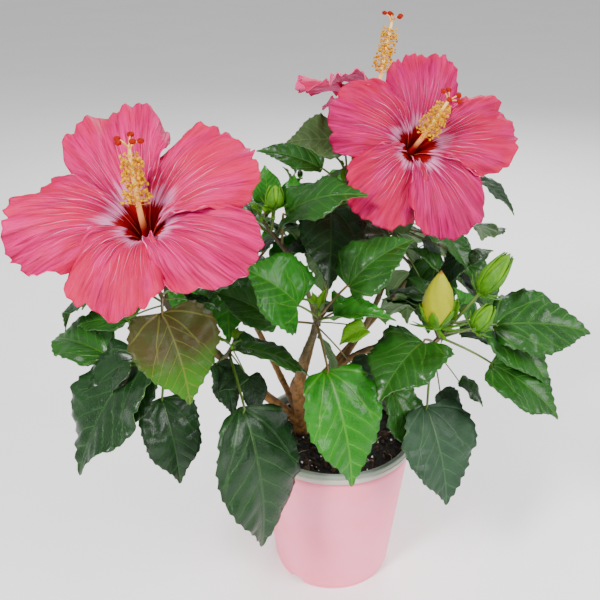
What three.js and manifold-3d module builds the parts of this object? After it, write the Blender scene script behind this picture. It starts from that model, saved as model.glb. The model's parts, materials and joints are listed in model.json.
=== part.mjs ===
// A potted hibiscus shrub in flower: pink pot with a grey rim, moist soil, a short woody trunk,
// boughs, masses of toothed leaves, three open blooms and four buds. Millimetres, +Z up; the
// origin is the middle of the pot's flat underside and -Y is the plant's front.
import * as THREE from 'three';
import { mergeVertices } from 'three/addons/utils/BufferGeometryUtils.js';
import Module from 'manifold-3d';

const wasm = await Module();
wasm.setup();

// Driving dimensions: pot and soil
const GAP = 0.3; // clearance between neighbouring pieces
const POT_SIDES = 32;
const FOOT_RADIUS = 47.7;
const WALL_FOOT_RADIUS = 49.9;
const WALL_FOOT_HEIGHT = 10.8;
const WALL_TOP_RADIUS = 62.8;
const WALL_TOP_HEIGHT = 123.4;
const WALL_THICKNESS = 1.8;
const FLOOR_THICKNESS = 3;
const RIM_RADIUS = 65;
const RIM_INNER_RADIUS = 60.9;
const RIM_TOP_HEIGHT = 132;
const RIM_GROOVE = 0.6;
const SOIL_HEIGHT = 122;
const SOIL_SLACK = 0.4; // the soil stands this far inside the wall
const FOOT_BAND = 1.6; // height of the plain band under the foot's groove
const FOOT_GROOVE = 0.8; // depth and height of that groove
const FOOT_ROUND = 4.2; // height over which the foot rounds up into the wall
const FLOOR_CORNER = 2.5; // slope between floor and wall, inside
const RIM_EDGE = 0.8; // bevel along the rim's edges

// Driving dimensions: wood
const TRUNK_RADIUS = 4.9;
const TRUNK_TIP_RADIUS = 3.8;
const ROOT_FLARE = 0.75; // extra share of the radius at the soil
const FLARE_RISE = 6; // height over which the flare dies out
const KNOT_SWELL = 0.5; // extra share of the radius at the knot under the fork
const KNOT_PLACE = 0.9; // how far up the trunk the knot sits
const KNOT_SPREAD = 0.09;
const TRUNK_SIDES = 9;
const TRUNK_STEPS = 12;
const LIMB_SIDES = 6;
const LIMB_STEPS = 5;
const STEM_RADII = [1.9, 1.2];
const STEM_SIDES = 5;
const STEM_STEPS = 3;
const TWIG_RADII = [1.5, 1];
const TWIG_LENGTHS = [30, 46];
const TWIG_RISES = [8, 48]; // rise of a side twig's first and second half

// Driving dimensions: leaves
const LEAF_THICKNESS = 0.024; // at the midrib, as a share of the length
const LEAF_ARCH = 0.07; // rise of the blade's middle over its chord, as a share of the length
const LEAF_LOBE = 1.5; // how strongly the blade's shoulders sweep back to a heart shape
const LEAF_SHOULDER = 0.68; // below 1 the blade is widest nearer its stalk
const LEAF_FULLNESS = 0.75; // below 1 the blade keeps its width towards both ends
const LEAF_TAPER = 1.4; // above 1 the blade's rows crowd towards the stalk
const STALK_ROWS = 3;
const BLADE_ROWS = 6;
const STALK_SHARE = STALK_ROWS / (STALK_ROWS + BLADE_ROWS); // share of a leaf's rows in its stalk
const LEAF_CLEARANCE = 0.5;
const PETIOLE_RADIUS = 0.95;
const PETIOLE_LIFT = 0.06; // upward bow of the stalk, as a share of its length
const MIN_LEAF_HEIGHT = 96; // leaves hang no lower than this
const SEED = 4099;
const SEED_STEP = 97;
const GOLDEN_SHARE = 0.618; // spreads successive leaves round their twig

// Driving dimensions: blooms
const BLOOM_RADIUS = 70;
const BLOOM_THROAT_RADIUS = 3;
const BLOOM_REFLEX = 8;
const PETAL_HALF_WIDTH = 48;
const PETAL_LAP = 7; // added at the throat, where neighbours lap
const PETAL_THICKNESS = 1.7;
const PETAL_OVERLAP = 3; // how far one edge of a petal lies over its neighbour
const PETAL_RUFFLE = 2.2;
const PETAL_COLUMNS = 3;
const PETAL_ROWS = 6;
const CALYX_LENGTH = 22;
const CALYX_RADIUS = 6.2;
const PEDICEL_RADIUS = 1.5;
const COLUMN_RADIUS = 1.5;
const ANTHERS = 6;
const ANTHER_REACH = 7.5;
const ANTHER_RADIUS = 1.9;
const STIGMAS = 5;
const STIGMA_RADIUS = 1.7;
const STIGMA_SPREAD = 6.5;
const PIN_RADIUS = 0.6; // the threads that carry anthers and stigmas
const BRACTS = 5;
const BRACT_RADII = [1.1, 0.4];

const COLOURS = {
  pot: 0xfdc3cb, rim: 0xa6aba2, soil: 0x1e1e16, bark: 0x8a5a2c, twig: 0x6e5a2a,
  bright: 0x489a24, mid: 0x47802a, dark: 0x2f5a2a, olive: 0x5d6422,
  petal: 0xee4a86, petalBack: 0xf681ae, budYellow: 0xf1e40d, budGreen: 0x6fb51e,
};

// Limbs as quadratic curves: where each one starts, bends and ends, and its two radii
const TRUNK = [[-25, 12, 112], [-31, 2, 150], [-30, -5, 180]];
const BOUGHS = {
  bough_left: { path: [[-28, 6, 133], [-72, 4, 172], [-113, -76, 278]], radii: [4.1, 2.1] },
  bough_left_low: { path: [[-80, -25, 204], [-98, -50, 216], [-114, -72, 236]], radii: [2.2, 1.6] },
  bough_left_mid: { path: [[-86, -32, 216], [-83, -39, 220], [-80, -44, 226]], radii: [2, 1.7] },
  bough_front: { path: [[-30, -4, 176], [-29, -22, 205], [-18, -48, 246]], radii: [3.1, 2.4] },
  bough_centre: { path: [[-30, -3, 178], [-14, 4, 225], [-3, 12, 276]], radii: [3.1, 2.2] },
  bough_right: { path: [[-29, 3, 151], [18, 8, 218], [66, -32, 226]], radii: [3.3, 2.1] },
  bough_upper_left: { path: [[-15, 4, 226], [-22, -2, 262], [-38, -6, 291]], radii: [2.2, 1.6] },
  bough_upper_right: { path: [[4, 2, 193], [40, 20, 235], [44, 25, 290]], radii: [2.4, 1.7] },
  bough_rear: { path: [[-29, 3, 165], [-14, 48, 200], [0, 66, 256]], radii: [3, 1.9] },
  bough_rear_left: { path: [[-29, 5, 141], [-50, 45, 165], [-82, 62, 232]], radii: [3, 1.9] },
  bough_rear_right: { path: [[-30, -1, 158], [18, 48, 184], [62, 60, 238]], radii: [2.9, 1.9] },
};
// Masses of foliage. Each leaf is a row of sizes: node on the stem (0 foot, 1 tip);
// petiole length, bearing, rise; blade length, width, bearing, pitch, roll, fold.
// Bearings turn anticlockwise from +X seen from above, angles are in degrees.
// fill: side twigs, seeded leaves on each limb, middle bearing and half spread, reach of the
// space, and how many degrees lower every other leaf hangs.
const MASSES = {
  foliage_left: {
    on: 'bough_left',
    stem: [[-113, -76, 278], [-117, -82, 288], [-118, -86, 300]],
    colour: 'olive',
    fill: { twigs: 1, leaves: 4, bearing: 110, spread: 80, reach: 105, drop: 0 },
    leaves: [
      [0.6, 16, -82, -9, 61, 60, -53, -58, 0, 6],
      [0.3, 42, 148, -30, 40, 28, 168, -13, 20, 10],
      [0.5, 39, 72, -25, 30, 24, 37, -28, 0, 10],
    ],
  },
  foliage_left_low: {
    on: 'bough_left_low',
    stem: [[-114, -72, 236], [-119, -78, 242], [-124, -84, 247]],
    colour: 'dark',
    fill: { twigs: 1, leaves: 3, bearing: 150, spread: 70, reach: 110, drop: 0 },
    leaves: [
      [0.9, 14, -135, 25, 88, 72, -141, -50, 0, 4],
      [0.5, 28, -120, -76, 62, 43, -60, -66, 0, 6],
      [0.7, 42, 160, -8, 66, 42, 178, -14, 24, 20],
    ],
  },
  foliage_left_mid: {
    on: 'bough_left_mid',
    stem: [[-80, -44, 226], [-78, -48, 232], [-76, -54, 238]],
    colour: 'dark',
    fill: { twigs: 0, leaves: 2, bearing: 200, spread: 50, reach: 140, drop: 0 },
    leaves: [
      [0.7, 4, -30, 48, 68, 38, -37, -28, 0, 8],
      [0.2, 50, -73, -22, 111, 64, -55, -76, 0, 5],
      [0.3, 19, -50, -26, 23, 18, -147, -15, 20, 6],
      [0.9, 32, 35, -68, 29, 27, -35, -69, 0, 6],
      [0.5, 13, -156, -38, 43, 27, -38, -68, 0, 6],
    ],
  },
  foliage_front: {
    on: 'bough_front',
    stem: [[-18, -48, 246], [-16, -51, 254], [-15, -53, 264]],
    colour: 'bright',
    fill: { twigs: 0, leaves: 4, bearing: 60, spread: 100, reach: 115, drop: 0 },
    leaves: [
      [0.5, 36, -76, -34, 83, 58, -60, -64, 0, 8],
      [0.8, 35, -23, 54, 54, 46, 11, 38, -22, 8],
      [0.7, 16, -46, 26, 45, 24, -24, 13, -20, 40],
      [0.8, 23, -137, 41, 50, 56, -167, 42, 42, 6],
      [0.6, 34, -11, -2, 22, 18, -157, -20, 20, 20],
      [0.5, 28, 166, -4, 51, 38, 165, 22, 20, 8],
      [0.4, 39, -4, -50, 38, 33, -18, -46, 0, 8],
      [0.3, 49, 84, -36, 40, 30, 20, -80, 0, 6],
      [0.3, 44, 67, 54, 25, 21, 123, -68, 0, 6],
    ],
  },
  foliage_right: {
    on: 'bough_right',
    stem: [[66, -32, 226], [72, -36, 232], [78, -40, 246]],
    colour: 'mid',
    fill: { twigs: 1, leaves: 4, bearing: 60, spread: 80, reach: 125, drop: 0 },
    leaves: [
      [0.3, 31, -115, 31, 58, 56, -131, -29, 0, 4],
      [0.6, 46, 1, -29, 64, 52, -22, -32, -16, 6],
      [0.1, 42, 6, -53, 27, 23, -17, -41, 0, 10],
      [0.2, 48, -99, -75, 77, 62, -61, -64, 0, 6],
      [0.6, 53, -167, -52, 51, 38, -47, -61, 0, 8],
      [0.2, 48, 35, -74, 34, 27, -43, -53, 0, 8],
      [0.55, 46, 18, 5, 76, 54, 3, -5, -32, 6],
      [0.5, 39, 53, -15, 45, 34, -3, -12, 0, 6],
      [0.7, 47, 53, -7, 27, 24, 140, 56, 0, 8],
    ],
  },
  foliage_upper_left: {
    on: 'bough_upper_left',
    stem: [[-38, -6, 291], [-46, -9, 302], [-55, -13, 318]],
    colour: 'mid',
    fill: { twigs: 1, leaves: 4, bearing: 140, spread: 80, reach: 90, drop: 0 },
    leaves: [
      [0.2, 35, -85, 61, 64, 42, 25, 25, -28, 8],
      [0.97, 14, 70, 52, 26, 22, 101, 75, 0, 8],
      [0.4, 26, 35, 61, 23, 20, 78, 64, 0, 8],
    ],
  },
  foliage_upper_centre: {
    on: 'bough_centre',
    stem: [[-3, 12, 276], [0, 16, 310], [8, 20, 345]],
    colour: 'dark',
    fill: { twigs: 2, leaves: 4, bearing: 110, spread: 120, reach: 90, drop: 0 },
    leaves: [
      [0.9, 31, -109, 72, 44, 36, -158, 6, 40, 10],
      [0.8, 22, 156, 34, 51, 26, 171, 15, 30, 15],
      [0.2, 9, 150, -15, 36, 28, 161, -18, 15, 8],
      [0.9, 16, 74, 17, 28, 25, 148, -44, 0, 8],
      [0.6, 10, 83, -18, 21, 20, 132, 49, 0, 8],
    ],
  },
  foliage_upper_right: {
    on: 'bough_upper_right',
    stem: [[44, 25, 290], [44, 26, 302], [48, 30, 316]],
    colour: 'dark',
    fill: { twigs: 1, leaves: 4, bearing: 40, spread: 90, reach: 110, drop: 0 },
    leaves: [
      [0.3, 19, -106, 4, 59, 42, -158, 3, 15, 6],
      [0.6, 16, -75, -30, 19, 16, -70, 77, 0, 8],
      [0.2, 24, 1, -20, 30, 32, -19, -60, 0, 8],
      [0.3, 63, 4, -18, 38, 30, -158, -50, 0, 8],
      [0.5, 49, -8, -14, 20, 13, -51, -62, 0, 30],
      [0.3, 62, -24, -18, 20, 21, 20, 31, 0, 8],
      [0.5, 73, 21, 19, 40, 26, -21, -38, 0, 8],
      [0.1, 52, -58, -38, 17, 14, 163, 36, 20, 10],
      [0.15, 47, -47, -23, 27, 17, 163, 38, 20, 35],
    ],
  },
  foliage_rear: {
    on: 'bough_rear',
    stem: [[0, 66, 256], [3, 64, 282], [6, 58, 306]],
    colour: 'mid',
    fill: { twigs: 3, leaves: 5, bearing: 90, spread: 120, reach: 105, drop: 34 },
    leaves: [],
  },
  foliage_rear_left: {
    on: 'bough_rear_left',
    stem: [[-82, 62, 232], [-94, 68, 256], [-102, 64, 284]],
    colour: 'dark',
    fill: { twigs: 3, leaves: 5, bearing: 140, spread: 150, reach: 105, drop: 34 },
    leaves: [],
  },
  foliage_rear_right: {
    on: 'bough_rear_right',
    stem: [[62, 60, 238], [76, 62, 258], [84, 60, 286]],
    colour: 'dark',
    fill: { twigs: 3, leaves: 5, bearing: 30, spread: 150, reach: 105, drop: 46 },
    leaves: [],
  },
};

// Turn and pitch, in degrees, that a leaf tries in order until it hangs clear of the rest
const NUDGES = [
  [0, 0], [0, 8], [0, -8], [10, 0], [-10, 0], [12, 12], [-12, 12], [20, 0], [-20, 0],
  [0, 20], [20, -14], [-20, -14], [36, 8], [-36, 8], [50, 0], [-50, 0],
];

// Blooms: throat, axis (bearing, rise), column (length, bearing, rise), the bearing of each petal
// round the axis, scale, depth from throat to rim, and the pedicel's curve
const BLOOMS = {
  bloom_left: {
    on: 'foliage_left',
    throat: [-116, -115, 344], axis: [-93, 53], depth: 38, column: [66, -110, 86],
    petals: [112, 36, -27, -98, -164], scale: 1.03, colour: 'petal',
    pedicel: [[-118, -86, 299], [-117, -91, 309]],
  },
  bloom_right: {
    on: 'foliage_upper_right',
    throat: [51, 20, 357], axis: [-79, 32], depth: 38, column: [64, -46, 57],
    petals: [82, 2, -73, -133, 157], scale: 0.95, colour: 'petal',
    pedicel: [[48, 30, 315], [46, 50, 326]],
  },
  bloom_rear: {
    on: 'foliage_rear',
    throat: [26, 60, 374], axis: [60, 62], depth: 20, column: [72, 20, 80],
    petals: [100, 28, -44, -116, 172], scale: 0.86, colour: 'petalBack',
    pedicel: [[6, 58, 304], [10, 48, 330]],
  },
};

// Buds: the stem and the place on it that carries the stalk, foot and tip of the bud, its radius
const BUDS = {
  bud_yellow: {
    on: 'foliage_right', node: 0.6, foot: [68, -46, 250], tip: [68, -48, 294], radius: 10.5,
  },
  bud_green_upper: {
    on: 'foliage_right', node: 0.98, foot: [102, -25, 266], tip: [120, -25, 297], radius: 8,
  },
  bud_green_lower: {
    on: 'foliage_right', node: 0.8, foot: [96, -45, 247], tip: [106, -46, 267], radius: 6.5,
  },
  bud_upper_left: {
    on: 'foliage_upper_left', node: 0.65, foot: [-46, -17, 328], tip: [-45, -18, 345], radius: 6,
  },
};

// Shape helpers

function vector([x, y, z]) {
  return new THREE.Vector3(x, y, z);
}

function heading(bearing, rise) {
  const turn = THREE.MathUtils.degToRad(bearing);
  const lift = THREE.MathUtils.degToRad(rise);
  return new THREE.Vector3(Math.cos(turn) * Math.cos(lift), Math.sin(turn) * Math.cos(lift), Math.sin(lift));
}

function solid(geometry) {
  const bare = geometry.clone();
  bare.deleteAttribute('normal');
  bare.deleteAttribute('uv');
  const merged = mergeVertices(bare, 1e-4);
  const vertProperties = new Float32Array(merged.attributes.position.array);
  const triVerts = new Uint32Array(merged.index.array);
  return new wasm.Manifold(new wasm.Mesh({ numProp: 3, vertProperties, triVerts }));
}

// The largest body of a union, without loose scraps and sealed hollows
function onePiece(pieces) {
  const whole = pieces.reduce((sum, piece) => sum.add(piece));
  return whole.decompose().reduce((best, body) => (body.volume() > best.volume() ? body : best));
}

function mesh(name, body, colour, roughness = 0.6) {
  const { vertProperties, triVerts } = body.getMesh();
  const geometry = new THREE.BufferGeometry();
  geometry.setAttribute('position', new THREE.BufferAttribute(new Float32Array(vertProperties), 3));
  geometry.setIndex(new THREE.BufferAttribute(new Uint32Array(triVerts), 1));
  geometry.computeVertexNormals();
  const material = new THREE.MeshStandardMaterial({ color: colour, roughness, metalness: 0 });
  const result = new THREE.Mesh(geometry, material);
  result.name = name;
  return result;
}

function turned(profile) {
  const points = profile.map(([radius, height]) => new THREE.Vector2(radius, height));
  return new THREE.LatheGeometry(points, POT_SIDES).rotateX(Math.PI / 2);
}

// A tapering round limb: a cylinder whose rings are laid square across a curve
function limb(curve, radiusAt, sides, steps) {
  const geometry = new THREE.CylinderGeometry(1, 1, 1, sides, steps);
  const { normals, binormals } = curve.computeFrenetFrames(steps);
  const { position } = geometry.attributes;
  const point = new THREE.Vector3();
  for (let i = 0; i < position.count; i += 1) {
    const along = position.getY(i) + 0.5;
    const step = Math.round(along * steps);
    const radius = radiusAt(along);
    curve.getPointAt(along, point);
    point.addScaledVector(binormals[step], position.getX(i) * radius);
    point.addScaledVector(normals[step], position.getZ(i) * radius);
    position.setXYZ(i, point.x, point.y, point.z);
  }
  return solid(geometry);
}

// A limb's shape grown by the clearance all round and past its tip, to cut what it carries
function berth(curve, radiusAt, sides, steps) {
  const tip = curve.getPointAt(1);
  const outward = curve.getTangentAt(1);
  const radius = radiusAt(1) + GAP;
  const foot = tip.clone().addScaledVector(outward, -1);
  const cap = straight(foot, tip.addScaledVector(outward, GAP), [radius, radius], 2 * sides);
  return limb(curve, (along) => radiusAt(along) + GAP, sides, steps).add(cap);
}

function straight(start, end, radii, sides = 3) {
  return limb(new THREE.LineCurve3(start, end), taper(radii), sides, 1);
}

function bend(path) {
  return new THREE.QuadraticBezierCurve3(...path.map(vector));
}

function taper([foot, tip]) {
  return (along) => THREE.MathUtils.lerp(foot, tip, along);
}

// A thin closed sheet: a sphere whose poles are the foot and tip and whose sides are the edges.
// place(along, across, face) gives the point; face is 1 on top, -1 underneath and 0 at the edges.
function sheet(columns, rows, place) {
  const geometry = new THREE.SphereGeometry(1, 2 * columns, rows);
  const { position, uv } = geometry.attributes;
  for (let i = 0; i < position.count; i += 1) {
    const turn = 2 * Math.PI * uv.getX(i);
    const point = place(1 - uv.getY(i), Math.cos(turn), Math.sin(turn));
    position.setXYZ(i, point.x, point.y, point.z);
  }
  return solid(geometry);
}

// Seeded numbers from 0 to 1
function dice(seed) {
  let state = seed;
  return () => {
    state = (state * 16807) % 2147483647;
    return state / 2147483647;
  };
}

// Pot, rim and soil

function potShell() {
  const inner = (height) => {
    const share = (height - WALL_FOOT_HEIGHT) / (WALL_TOP_HEIGHT - WALL_FOOT_HEIGHT);
    return THREE.MathUtils.lerp(WALL_FOOT_RADIUS, WALL_TOP_RADIUS, share) - WALL_THICKNESS;
  };
  const profile = [
    [0, 0], [FOOT_RADIUS, 0], [FOOT_RADIUS, FOOT_BAND],
    [FOOT_RADIUS - FOOT_GROOVE, FOOT_BAND + FOOT_GROOVE],
    [FOOT_RADIUS + FOOT_GROOVE, FOOT_BAND + 2 * FOOT_GROOVE],
    [WALL_FOOT_RADIUS - 0.5, WALL_FOOT_HEIGHT - FOOT_ROUND],
    [WALL_FOOT_RADIUS, WALL_FOOT_HEIGHT], [WALL_TOP_RADIUS, WALL_TOP_HEIGHT],
    [inner(WALL_TOP_HEIGHT), WALL_TOP_HEIGHT], [inner(WALL_FOOT_HEIGHT), WALL_FOOT_HEIGHT],
    [inner(WALL_FOOT_HEIGHT) - FLOOR_CORNER, FLOOR_THICKNESS], [0, FLOOR_THICKNESS],
  ];
  const soil = [
    [0, FLOOR_THICKNESS + GAP],
    [inner(WALL_FOOT_HEIGHT) - FLOOR_CORNER - 2 * SOIL_SLACK, FLOOR_THICKNESS + GAP],
    [inner(WALL_FOOT_HEIGHT) - 1.5 * SOIL_SLACK, WALL_FOOT_HEIGHT],
    [inner(SOIL_HEIGHT) - SOIL_SLACK, SOIL_HEIGHT], [0, SOIL_HEIGHT],
  ];
  return { pot: solid(turned(profile)), soil: solid(turned(soil)) };
}

function potRim() {
  const foot = WALL_TOP_HEIGHT + GAP;
  const middle = (foot + RIM_TOP_HEIGHT) / 2;
  const profile = [
    [RIM_INNER_RADIUS, foot], [RIM_RADIUS - RIM_EDGE, foot], [RIM_RADIUS, foot + RIM_EDGE],
    [RIM_RADIUS, middle - RIM_GROOVE], [RIM_RADIUS - RIM_GROOVE, middle],
    [RIM_RADIUS, middle + RIM_GROOVE], [RIM_RADIUS, RIM_TOP_HEIGHT - RIM_EDGE],
    [RIM_RADIUS - RIM_EDGE, RIM_TOP_HEIGHT], [RIM_INNER_RADIUS + RIM_EDGE, RIM_TOP_HEIGHT],
    [RIM_INNER_RADIUS, RIM_TOP_HEIGHT - RIM_EDGE], [RIM_INNER_RADIUS, foot],
  ];
  return solid(turned(profile));
}

// Trunk and boughs

function trunkRadius(along) {
  const height = along * (TRUNK[2][2] - TRUNK[0][2]) - (SOIL_HEIGHT - TRUNK[0][2]);
  const flare = 1 + ROOT_FLARE * Math.exp(-Math.max(height, 0) / FLARE_RISE);
  const knot = 1 + KNOT_SWELL * Math.exp(-(((along - KNOT_PLACE) / KNOT_SPREAD) ** 2));
  return THREE.MathUtils.lerp(TRUNK_RADIUS, TRUNK_TIP_RADIUS, along) * flare * knot;
}

function trunkSolid() {
  const body = limb(bend(TRUNK), trunkRadius, TRUNK_SIDES, TRUNK_STEPS);
  return body.trimByPlane([0, 0, 1], SOIL_HEIGHT + GAP);
}

function boughSolid(name) {
  const { path, radii } = BOUGHS[name];
  return limb(bend(path), taper(radii), LIMB_SIDES, LIMB_STEPS);
}

function boughBerth(name) {
  const { path, radii } = BOUGHS[name];
  return berth(bend(path), taper(radii), LIMB_SIDES, LIMB_STEPS);
}

function stemSolid(name) {
  return limb(bend(MASSES[name].stem), taper(STEM_RADII), STEM_SIDES, STEM_STEPS);
}

function stemBerth(name) {
  return berth(bend(MASSES[name].stem), taper(STEM_RADII), STEM_SIDES, STEM_STEPS);
}

// Leaves

function outline(place) {
  return Math.sin(Math.PI * place ** LEAF_SHOULDER) ** LEAF_FULLNESS;
}

// A leaf in one piece, stalk and blade. part(from, to, rows) gives that share of its length.
function leaf(stem, row, nudge) {
  const [node, petiole, bearing, rise, length, width, turn, pitch, roll, fold] = row;
  const root = stem.getPoint(node);
  const base = root.clone().addScaledVector(heading(bearing, rise), petiole);
  const corner = root.clone().lerp(base, 0.6).add(new THREE.Vector3(0, 0, PETIOLE_LIFT * petiole));
  const stalk = new THREE.QuadraticBezierCurve3(root, corner, base);
  const forward = heading(turn + nudge[0], pitch + nudge[1]);
  const right = heading(turn + nudge[0] - 90, 0).applyAxisAngle(forward, -THREE.MathUtils.degToRad(roll));
  const up = new THREE.Vector3().crossVectors(right, forward);
  const folded = THREE.MathUtils.degToRad(fold);
  const stalkPoint = (along, across, face, radius) => {
    const tangent = stalk.getTangent(along);
    const side = right.clone().addScaledVector(tangent, -right.dot(tangent)).normalize();
    return stalk.getPoint(along)
      .addScaledVector(side, radius * across)
      .addScaledVector(side.cross(tangent), radius * face);
  };
  const bladePoint = (place, across, face, radius) => {
    const side = Math.max(radius * (1 - place), 0.5 * width * outline(place)) * across;
    const lobe = ((LEAF_LOBE * side * side) / width) * (1 - place) ** 3;
    const midrib = 0.5 * LEAF_THICKNESS * length * Math.sqrt(1 - place);
    const thick = Math.max(radius * (1 - place) ** 2, midrib);
    const arch = LEAF_ARCH * length * 4 * place * (1 - place);
    const lift = arch + Math.abs(side) * Math.sin(folded);
    return base.clone()
      .addScaledVector(forward, length * place - lobe)
      .addScaledVector(right, side * Math.cos(folded))
      .addScaledVector(up, lift + thick * face);
  };
  const part = (from, to, rows) => sheet(2, rows, (along, across, face) => {
    const inside = along > 0 && along < 1 ? 1 : 0;
    const place = THREE.MathUtils.lerp(from, to, along);
    const blade = Math.max(place - STALK_SHARE, 0) / (1 - STALK_SHARE);
    return place < STALK_SHARE
      ? stalkPoint(place / STALK_SHARE, inside * across, inside * face, PETIOLE_RADIUS)
      : bladePoint(blade ** LEAF_TAPER, inside * across, inside * face, PETIOLE_RADIUS);
  });
  return { tip: base.clone().addScaledVector(forward, length), part };
}

// Blooms and buds

function bloomFrame(throat, [bearing, rise]) {
  const axis = heading(bearing, rise);
  const side = heading(bearing + 90, 0);
  return { throat: vector(throat), axis, side, up: new THREE.Vector3().crossVectors(axis, side) };
}

function petalSolid(frame, bearing, scale, depth) {
  return sheet(PETAL_COLUMNS, PETAL_ROWS, (along, across, face) => {
    const inside = along > 0 && along < 1 ? 1 : 0;
    const place = Math.sin(0.5 * Math.PI * along);
    const radius = scale * THREE.MathUtils.lerp(BLOOM_THROAT_RADIUS, BLOOM_RADIUS, place ** 1.15);
    const lap = PETAL_LAP * (1 - place) ** 3;
    const half = scale * (PETAL_HALF_WIDTH * place ** 0.9 * Math.sqrt(1 - place ** 7) + lap) * inside;
    const angle = THREE.MathUtils.degToRad(bearing) - (half * across) / (radius + 4);
    const cup = scale * (depth * (1 - (1 - place) ** 3) - BLOOM_REFLEX * place ** 3);
    const wave = PETAL_RUFFLE * Math.sin(3 * Math.PI * across) * place ** 2;
    const height = cup + inside * (PETAL_OVERLAP * across * place + wave + 0.5 * PETAL_THICKNESS * face);
    return frame.throat.clone()
      .addScaledVector(frame.side, radius * Math.cos(angle))
      .addScaledVector(frame.up, radius * Math.sin(angle))
      .addScaledVector(frame.axis, height);
  });
}

// A thread with a head on its end
function pin(root, end, radius) {
  const radii = [PIN_RADIUS, PIN_RADIUS, radius, 0.4 * radius];
  return limb(new THREE.LineCurve3(root, end), (along) => radii[Math.round(3 * along)], 3, 3);
}

function columnPieces(frame, [length, bearing, rise]) {
  const outward = heading(bearing, rise);
  const middle = frame.throat.clone().addScaledVector(frame.axis, 0.4 * length);
  const tip = middle.clone().addScaledVector(outward, 0.6 * length);
  const foot = frame.throat.clone().addScaledVector(frame.axis, -2);
  const curve = new THREE.QuadraticBezierCurve3(foot, middle, tip);
  const pieces = [limb(curve, taper([1.5 * COLUMN_RADIUS, 0.7 * COLUMN_RADIUS]), 6, 6)];
  const side = new THREE.Vector3().crossVectors(outward, frame.side).normalize();
  for (let i = 0; i < ANTHERS; i += 1) {
    const root = curve.getPoint(0.52 + (0.36 * i) / ANTHERS);
    const spoke = side.clone().applyAxisAngle(outward, i * 2.4);
    const end = root.clone().addScaledVector(spoke, ANTHER_REACH).addScaledVector(outward, 2);
    pieces.push(pin(root, end, ANTHER_RADIUS));
  }
  for (let i = 0; i < STIGMAS; i += 1) {
    const root = curve.getPoint(0.94);
    const spoke = side.clone().applyAxisAngle(outward, (i * 2 * Math.PI) / STIGMAS);
    const end = tip.clone().addScaledVector(spoke, STIGMA_SPREAD).addScaledVector(outward, 3);
    pieces.push(pin(root, end, STIGMA_RADIUS));
  }
  return pieces;
}

function bloomSolid({ on, throat, axis, depth, column, petals, scale, pedicel }) {
  const frame = bloomFrame(throat, axis);
  const mouth = frame.throat.clone().addScaledVector(frame.axis, 5);
  const foot = frame.throat.clone().addScaledVector(frame.axis, -CALYX_LENGTH);
  const into = foot.clone().addScaledVector(frame.axis, 4);
  const stalk = new THREE.QuadraticBezierCurve3(vector(pedicel[0]), vector(pedicel[1]), into);
  const cup = (along) => CALYX_RADIUS * (0.45 + 0.75 * Math.sin(Math.PI * (0.15 + 0.5 * along)));
  const whole = onePiece([
    limb(stalk, taper([PEDICEL_RADIUS, 1.3 * PEDICEL_RADIUS]), 5, 5),
    limb(new THREE.LineCurve3(foot, mouth), cup, 8, 4),
    ...petals.map((bearing) => petalSolid(frame, bearing, scale, depth)),
    ...columnPieces(frame, column),
  ]);
  return onePiece([whole.subtract(stemBerth(on))]);
}

function budSolid({ on, node, foot, tip, radius }) {
  const start = bend(MASSES[on].stem).getPoint(node);
  const [base, end] = [foot, tip].map(vector);
  const axis = end.clone().sub(base);
  const plump = (along) => {
    const share = Math.sin(Math.PI * along ** 0.8) ** 0.8;
    return radius * Math.max(0.06, share + 0.12 * (1 - along));
  };
  const side = new THREE.Vector3(axis.z, 0, -axis.x).normalize();
  const outward = axis.clone().normalize();
  const pieces = [
    limb(new THREE.LineCurve3(base, end), plump, 7, 5),
    straight(start, base.clone().addScaledVector(outward, 2), [PEDICEL_RADIUS, PEDICEL_RADIUS], 5),
  ];
  for (let i = 0; i < BRACTS; i += 1) {
    const spoke = side.clone().applyAxisAngle(outward, (i * 2 * Math.PI) / BRACTS);
    const bract = base.clone().addScaledVector(spoke, 1.5 * radius).addScaledVector(outward, 0.35 * radius);
    pieces.push(straight(base.clone().addScaledVector(outward, 1.5), bract, BRACT_RADII));
  }
  return onePiece([onePiece(pieces).subtract(stemBerth(on))]);
}

// Growing the plant: pieces that are already in place, with the node they belong to

const placed = [];

function occupy(node, kind, body) {
  placed.push({ node, kind, body, box: body.boundingBox() });
}

function apart(box, other) {
  return [0, 1, 2].some((axis) => box.min[axis] > other.max[axis] + LEAF_CLEARANCE
    || other.min[axis] > box.max[axis] + LEAF_CLEARANCE);
}

function clear(body, relevant) {
  const box = body.boundingBox();
  return placed.every((piece) => !relevant(piece) || apart(box, piece.box)
    || body.minGap(piece.body, 2 * LEAF_CLEARANCE) >= LEAF_CLEARANCE);
}

function growLeaf(node, stem, row, space) {
  for (const nudge of NUDGES) {
    const { tip, part } = leaf(stem, row, nudge);
    const blade = part(STALK_SHARE, 1, BLADE_ROWS);
    const stalk = part(0.3 * STALK_SHARE, STALK_SHARE, STALK_ROWS);
    const root = part(0, 0.35 * STALK_SHARE, 2);
    const fits = (!space || space(tip)) && blade.boundingBox().min[2] > MIN_LEAF_HEIGHT
      && clear(blade, (piece) => piece.kind !== 'leaf')
      && clear(stalk, (piece) => piece.kind !== 'leaf' && (piece.node !== node || piece.kind === 'blade'))
      && clear(root, (piece) => piece.kind !== 'leaf' && ![node, MASSES[node].on].includes(piece.node));
    if (fits) {
      occupy(node, 'blade', blade);
      occupy(node, 'stalk', stalk);
      occupy(node, 'leaf', part(0, 1, STALK_ROWS + BLADE_ROWS));
      return true;
    }
  }
  return false;
}

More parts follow.
